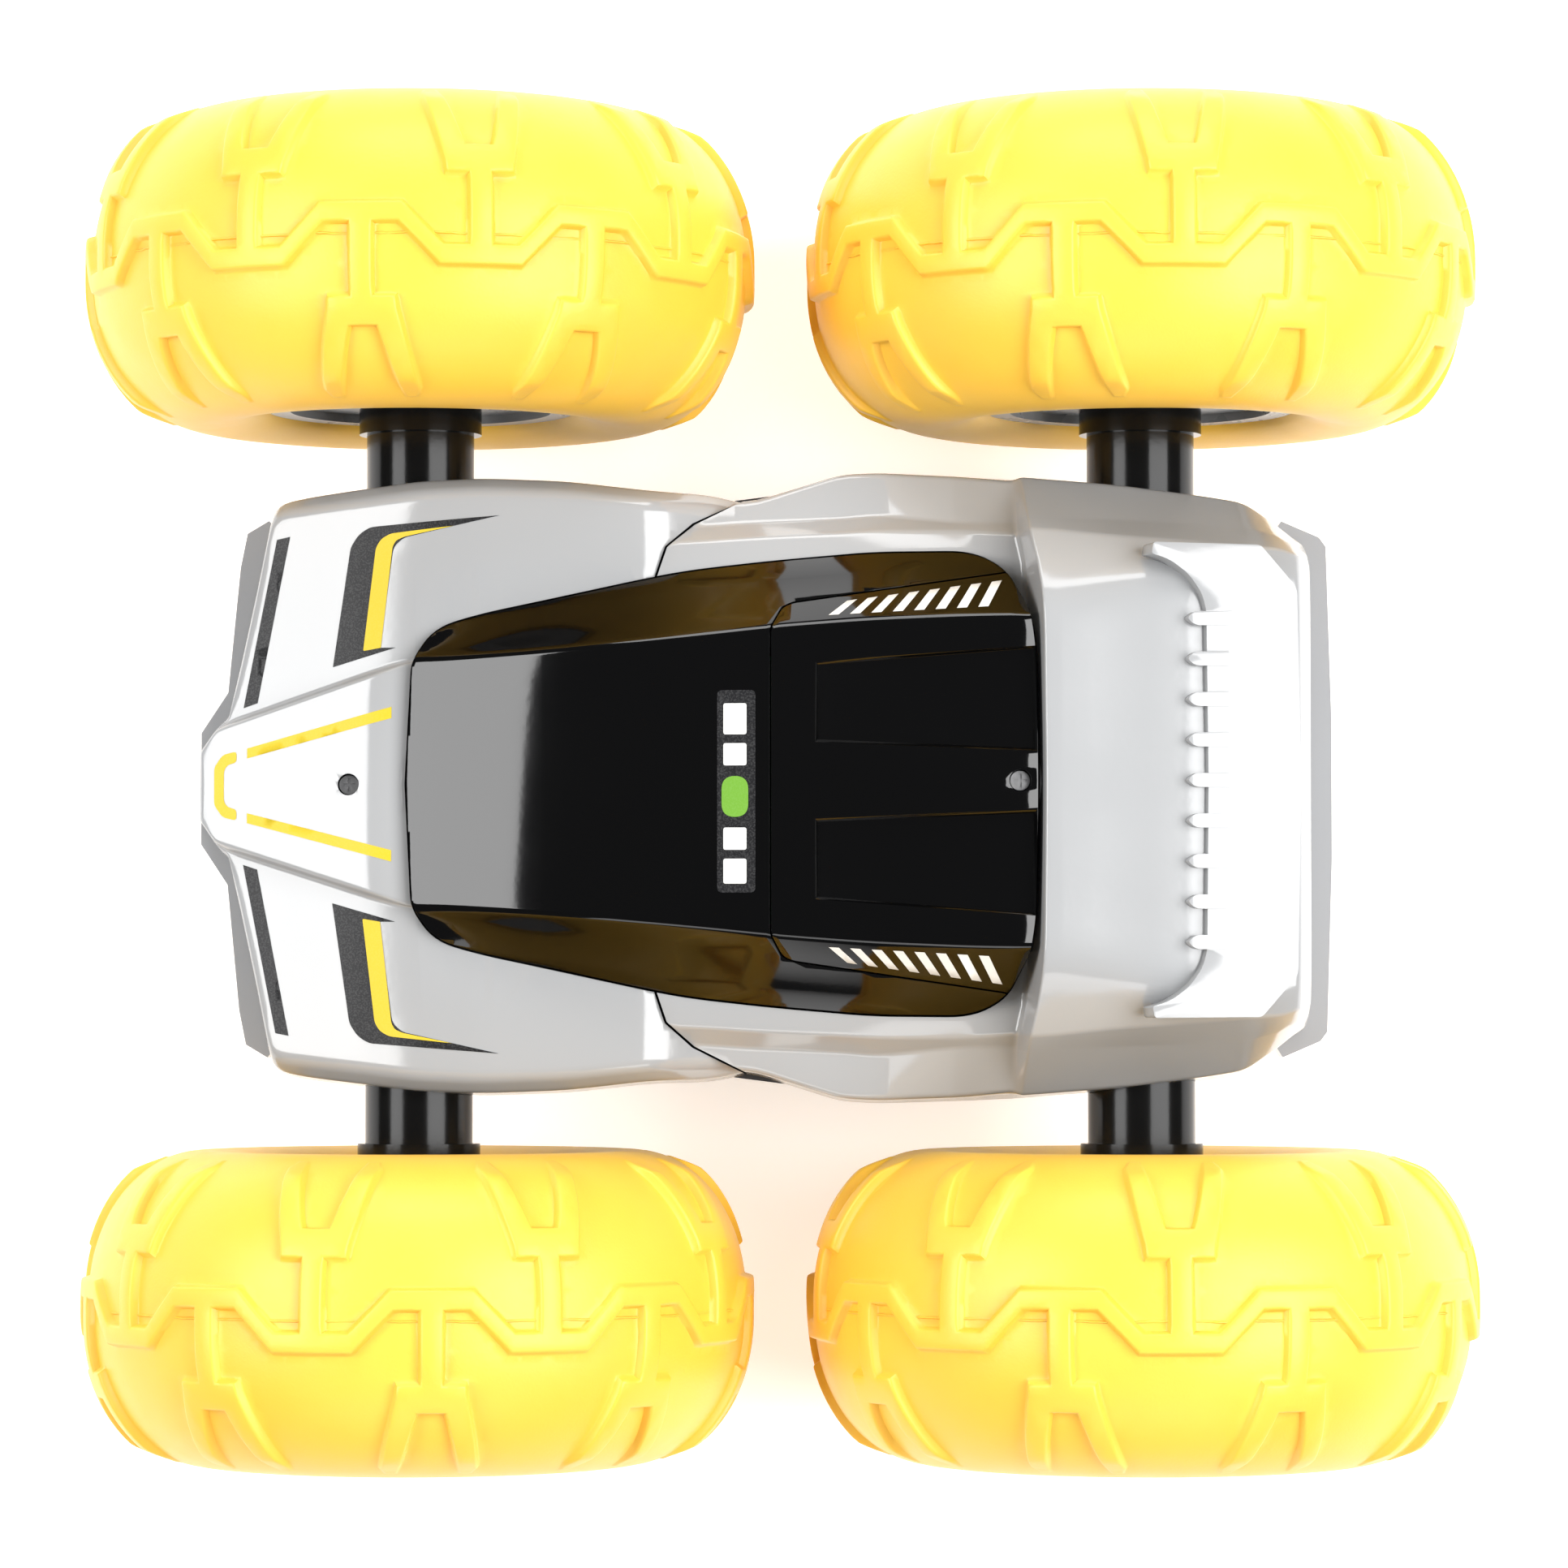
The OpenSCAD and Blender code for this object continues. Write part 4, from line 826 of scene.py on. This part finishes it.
front_across = [9, 9, 1.0, 1.0, 6, 2.4, 1.6, 1]
front_along = [1.5] + [1.2] * 6 + [5] * 12
front_cover = shell("front_cover_skin", FRONT, front_across, front_along, WALL, GREY, 5, 4)
for c in (canopy_prism(GAP), side_prism(POD, 1), side_prism(POD, -1), box_prism(-40, 6, -90, 90),
          arch(1)):
    cut(front_cover, c)
rear_across = [9, 9, 1.4, 1.0, 1.0, 1.4, 1]
rear_along = [6, 6, 6, 6, 3, 3, 3, 1.2, 0.7, 1.2, 6, 6, 3, 2, 1.6, 2, 1]
rear_cover = shell("rear_cover_skin", REAR, rear_across, rear_along, WALL, GREY, 5, 4)
grown = [(x - GAP, y - GAP * 0.6) for x, y in TAIL]
for c in (canopy_prism(GAP), side_prism(grown, 1), side_prism(grown, -1), box_prism(14, 140, -45, 45),
          arch(-1)):
    cut(rear_cover, c)


DECK_TILT, DECK_X, DECK_RISE = -13.4, -96.6, 49.8
TOOTH_PITCH, TOOTH_HALF = 9.1, 1.6


def deck_point(x, y, z):
    """From the tilted deck panel to the car."""
    a = math.radians(DECK_TILT)
    return (DECK_X + x * math.cos(a) + z * math.sin(a), y,
            AXLE_Z + DECK_RISE - x * math.sin(a) + z * math.cos(a))


def deck_slab(name, outline, z0, z1):
    o = prism(name, outline, 0, 1, GREY)
    for v in o.data.vertices:
        x, y, z = v.co * 1000
        v.co = Vector(deck_point(x, y, z0 + (z1 - z0) * z)) * 0.001
    return o


deck_line = both_sides([(0.4, 0), (0.8, 38), (1.8, 42), (5, 46.4), (9.5, 49.6), (13.6, 50.8),
                        (13.2, 53.4), (-12, 53.2), (-20.6, 43.6), (-21.4, 0)])
deck_radii = [0, 1, 2, 2, 2, 0.6, 0.8, 1, 1.5, 0, 1.5, 1, 0.8, 0.6, 2, 2, 2, 1]
deck = deck_slab("deck_skin", rounded(deck_line, deck_radii), -8, 0)
for k in range(9):
    y = (k - 4) * TOOTH_PITCH
    tip = rounded([(5.4, y), (3.6, y - TOOTH_HALF), (-4.6, y - TOOTH_HALF), (-4.6, y + TOOTH_HALF),
                   (3.6, y + TOOTH_HALF)], [0.8, 1.2, 0.3, 0.3, 1.2], 4)
    cut(deck, deck_slab("cutter", tip, -3.4, 0.25), "UNION")

roof_radii = [9, 9, 1.3, 5, 1]
roof_along = [2, 4] + [8] * 9
canopy = shell("canopy_skin", ROOF, roof_radii, roof_along, WALL, BLACK, 6, 5)
cut(canopy, canopy_prism(0), "INTERSECT")
engine = canopy.copy()
engine.data = canopy.data.copy()
engine.name = "engine_cover_skin"
COLL.objects.link(engine)
cut(canopy, engine_prism(GAP * 0.8))
cut(engine, engine_prism(0), "INTERSECT")


def pocket(side, z0, z1, grow):
    """One of the two shallow recesses in the engine cover."""
    g = grow
    line = [(-7.5 + g, 8.3 - g), (-7.5 + g, 27.2 + g), (-58 - g, 30.9 + g), (-58 - g, 6.4 - g)]
    a = math.radians(-1.9 * side)
    o = prism("cutter", [(x, side * y) for x, y in line], 0, 1)
    me = o.data
    for v in me.vertices:
        x, y, z = v.co * 1000
        top = z > 0.5
        inset = 0 if top else 1.6
        cx, cy = -33, side * 18
        x += inset if x < cx else -inset
        y += inset if y < cy else -inset
        h = z0 + (z1 - z0) * z
        dy = y - side * 8
        v.co = Vector((x, side * 8 + dy * math.cos(a) - h * math.sin(a),
                       AXLE_Z + 48.3 + dy * math.sin(a) + h * math.cos(a))) * 0.001
    weld(o)
    return o


for side in (1, -1):
    cut(engine, pocket(side, -1.25, 1.2, 0.6))


def screw_hole(x):
    """A cutter for the hole over a body screw on the centre line."""
    n, r = 40, 2.5
    verts = [(x + r * math.cos(2 * math.pi * k / n), r * math.sin(2 * math.pi * k / n), z)
             for z in (90, CUT_TOP) for k in range(n)]
    faces = [tuple(range(n - 1, -1, -1)), tuple(range(n, 2 * n))]
    faces += [(i, (i + 1) % n, (i + 1) % n + n, i + n) for i in range(n)]
    return mesh_object("cutter", verts, faces, GREY)


NOSE_SCREW_X, ROOF_SCREW_X = 98.9, -54
for o, x in ((front_cover, NOSE_SCREW_X), (engine, ROOF_SCREW_X)):
    cut(o, screw_hole(x))
for o, width, node_name, slot_name in (
        (front_cover, 0.35, "front_cover", "grey_shell"), (rear_cover, 0.35, "rear_cover", "grey_shell"),
        (canopy, 0.3, "canopy", "black_gloss"), (engine, 0.3, "engine_cover", "black_gloss")):
    weld(o)
    soften(o, width)
    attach(o, "chassis")
    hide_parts(node_name)
soften(deck, 0.4, 30)
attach(deck, "chassis")

# ------------------------------------------------------------------ stickers

body_tree = surface_tree(front_cover, rear_cover, canopy, engine, deck)


def sticker(name, outline, material, both=True, lift=0.10):
    """A decal on the body, with its mirror image on the other side if both is set."""
    decal(name + ("_l" if both else ""), outline, body_tree, material, lift)
    if both:
        decal(name + "_r", [(p[0], -p[1]) for p in outline], body_tree, material, lift)


sticker("nose_line", [(122.8, 8.6), (88.9, 17.7), (88.9, 15.1), (122.8, 6.3)], SUN)
nose_bracket = [(125.3, 8.0), (128.6, 7.2), (130.6, 4.4), (130.6, -4.4), (128.6, -7.2), (125.3, -8.0),
                (125.3, -5.4), (127.4, -4.9), (128.3, -3.6), (128.3, 3.6), (127.4, 4.9), (125.3, 5.4)]
sticker("nose_bracket", rounded(nose_bracket, 0.9, 4), SUN, False)
sticker("fender_stripe", [(116.2, 56.9), (113.1, 57.5), (120.7, 19.2), (124.0, 18.1)], INK)
fender_band = [(102.8, 27.1), (98.7, 54.6), (96.8, 57.6), (94.1, 59.2), (64.2, 61.5), (86.3, 56.6),
               (88.7, 54.6), (91.8, 31.4), (88.1, 31.4)]
sticker("fender_band", rounded(fender_band, [0.2, 1, 1.5, 1, 0.1, 1, 1.5, 0.3, 0.1], 4), INK)
fender_hook = [(95.7, 30.7), (92.8, 54.4), (91.6, 56.4), (89.4, 57.6), (74.6, 59.2), (86.3, 56.8),
               (88.1, 56), (88.9, 54.6), (91.6, 31.4)]
sticker("fender_hook", rounded(fender_hook, [0.4, 0.8, 1, 0.8, 0.1, 0.8, 0.6, 0.6, 0.1], 4), SUN, lift=0.2)


def hatch_edge(t, top):
    """A point on the edge of the hatched strip, from its front end to its rear end."""
    a, b = ((-11.7, 40.8), (-46.1, 46.1)) if top else ((-9.7, 37.4), (-49.3, 39.6))
    return (a[0] + (b[0] - a[0]) * t, a[1] + (b[1] - a[1]) * t)


for k in range(8):
    t = 0.03 + k * 0.122
    low, high = hatch_edge(t, False), hatch_edge(t, True)
    low2, high2 = hatch_edge(t + 0.058, False), hatch_edge(t + 0.066, True)
    lean = 2.4 + 0.5 * k
    sticker("hatch_%d" % k, [low, (high[0] - lean, high[1]), (high2[0] - lean, high2[1]), low2], CHALK)

label = rounded([(14.2, 25.2), (5.6, 25.2), (5.6, -20.4), (14.2, -20.4)], 1.2, 5)
sticker("label", label, INK, False)
for k, (y0, y1) in enumerate(((23.2, 17.6), (15.6, 10.6), (-3.4, -8.4), (-10.4, -17.4))):
    bar = [(12.8, y0), (7.6, y0), (7.6, y1), (12.8, y1)]
    sticker("label_bar_%d" % k, rounded(bar, 0.5, 3), CHALK, False, lift=0.2)
label_dot = [(13.2, 8.2), (7.2, 8.2), (7.2, -1.0), (13.2, -1.0)]
sticker("label_dot", rounded(label_dot, 3.0, 8), LEAF, False, lift=0.2)

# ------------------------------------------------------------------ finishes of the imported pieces

for corner, _, _ in CORNERS:
    keep_node("rim_" + corner, RIM, 0.3)
    keep_node("wheel_nut_" + corner, STEEL, 0.15)
    keep_node("drive_shaft_" + corner, STEEL, 0.2)
    keep_node("output_gear_" + corner, NYLON)
    keep_node("compound_gear_" + corner, NYLON)
    keep_node("motor_pinion_" + corner, BRASS)
    keep_node("motor_" + corner, CAN, 0.5)
    keep_node("axle_tube_" + corner, TUBE, 0.45)
    keep_node("wheel_hub_" + corner, RIM, 0.4)
keep_node("gear_pins", STEEL)
keep_node("axle_bushes", BRASS, 0.2)
for name in ("front_gearbox_case", "front_gearbox_lid", "rear_gearbox_case", "rear_gearbox_lid"):
    keep_node(name, DARK, 0.5)
keep_node("lower_shell", DARK, 0.5)
keep_node("front_bumper", LIT_BUMPER, 0.6)
keep_node("rear_bumper", LIT_BUMPER, 0.6)
keep_node("battery_pack", BATTERY, 1.0)
keep_node("battery_door", DARK, 0.35)
keep_node("door_screw", SCREW, 0.1)
keep_node("circuit_board", BOARD, 0.15)
keep_node("switch_body", DARK, 0.2)
keep_node("switch_knob", RED, 0.3)
keep_node("body_screws", SCREW, 0.1)

# ------------------------------------------------------------------ camera, light, floor

cam_data = bpy.data.cameras.new("camera")
cam_data.sensor_width = 36.0
cam_data.lens = 135.3
cam_data.clip_end = 20.0
cam = bpy.data.objects.new("camera", cam_data)
COLL.objects.link(cam)
CAM_SIDE, CAM_HIGH, AIM_HIGH = 0.0535, 1.45, 0.105
cam.location = (-0.00085, CAM_SIDE, CAM_HIGH)
cam.rotation_euler = (math.atan2(CAM_SIDE, CAM_HIGH - AIM_HIGH), 0.0, math.pi)
bpy.context.scene.camera = cam

floor_mesh = bpy.data.meshes.new("floor")
floor_mesh.from_pydata([(-3, -3, 0), (3, -3, 0), (3, 3, 0), (-3, 3, 0)], [], [(0, 1, 2, 3)])
floor = bpy.data.objects.new("floor", floor_mesh)
COLL.objects.link(floor)
paper, _, paper_bsdf = new_material("paper")
paper_bsdf.inputs["Base Color"].default_value = (0.93, 0.93, 0.93, 1)
paper_bsdf.inputs["Roughness"].default_value = 0.7
paper_bsdf.inputs["Emission Color"].default_value = (1.0, 0.97, 0.95, 1)
paper_bsdf.inputs["Emission Strength"].default_value = 0.5
floor_mesh.materials.append(paper)


def softbox(name, at, size, power):
    """A rectangular area light that faces the middle of the car."""
    data = bpy.data.lights.new(name, "AREA")
    data.shape = "RECTANGLE"
    data.size, data.size_y = size
    data.energy = power
    o = bpy.data.objects.new(name, data)
    COLL.objects.link(o)
    o.location = at
    o.rotation_euler = (Vector((0, 0, 0.09)) - Vector(at)).to_track_quat("-Z", "Y").to_euler()


softbox("box_front", (1.084, -0.12, 1.094), (1.15, 0.70), 23)
softbox("box_rear", (-0.90, 0.0, 1.20), (1.2, 1.04), 36)
softbox("box_side", (0.0, -1.5, 0.8), (1.3, 0.7), 18)
softbox("box_fill", (0.0, 1.5, 1.1), (1.6, 0.5), 8)

world = bpy.data.worlds.new("studio")
bpy.context.scene.world = world
world.use_nodes = True
world.node_tree.nodes["Background"].inputs["Color"].default_value = (0.95, 0.97, 1.0, 1)
world.node_tree.nodes["Background"].inputs["Strength"].default_value = 0.10

bpy.context.scene.view_settings.view_transform = "Standard"
bpy.context.scene.view_settings.look = "None"
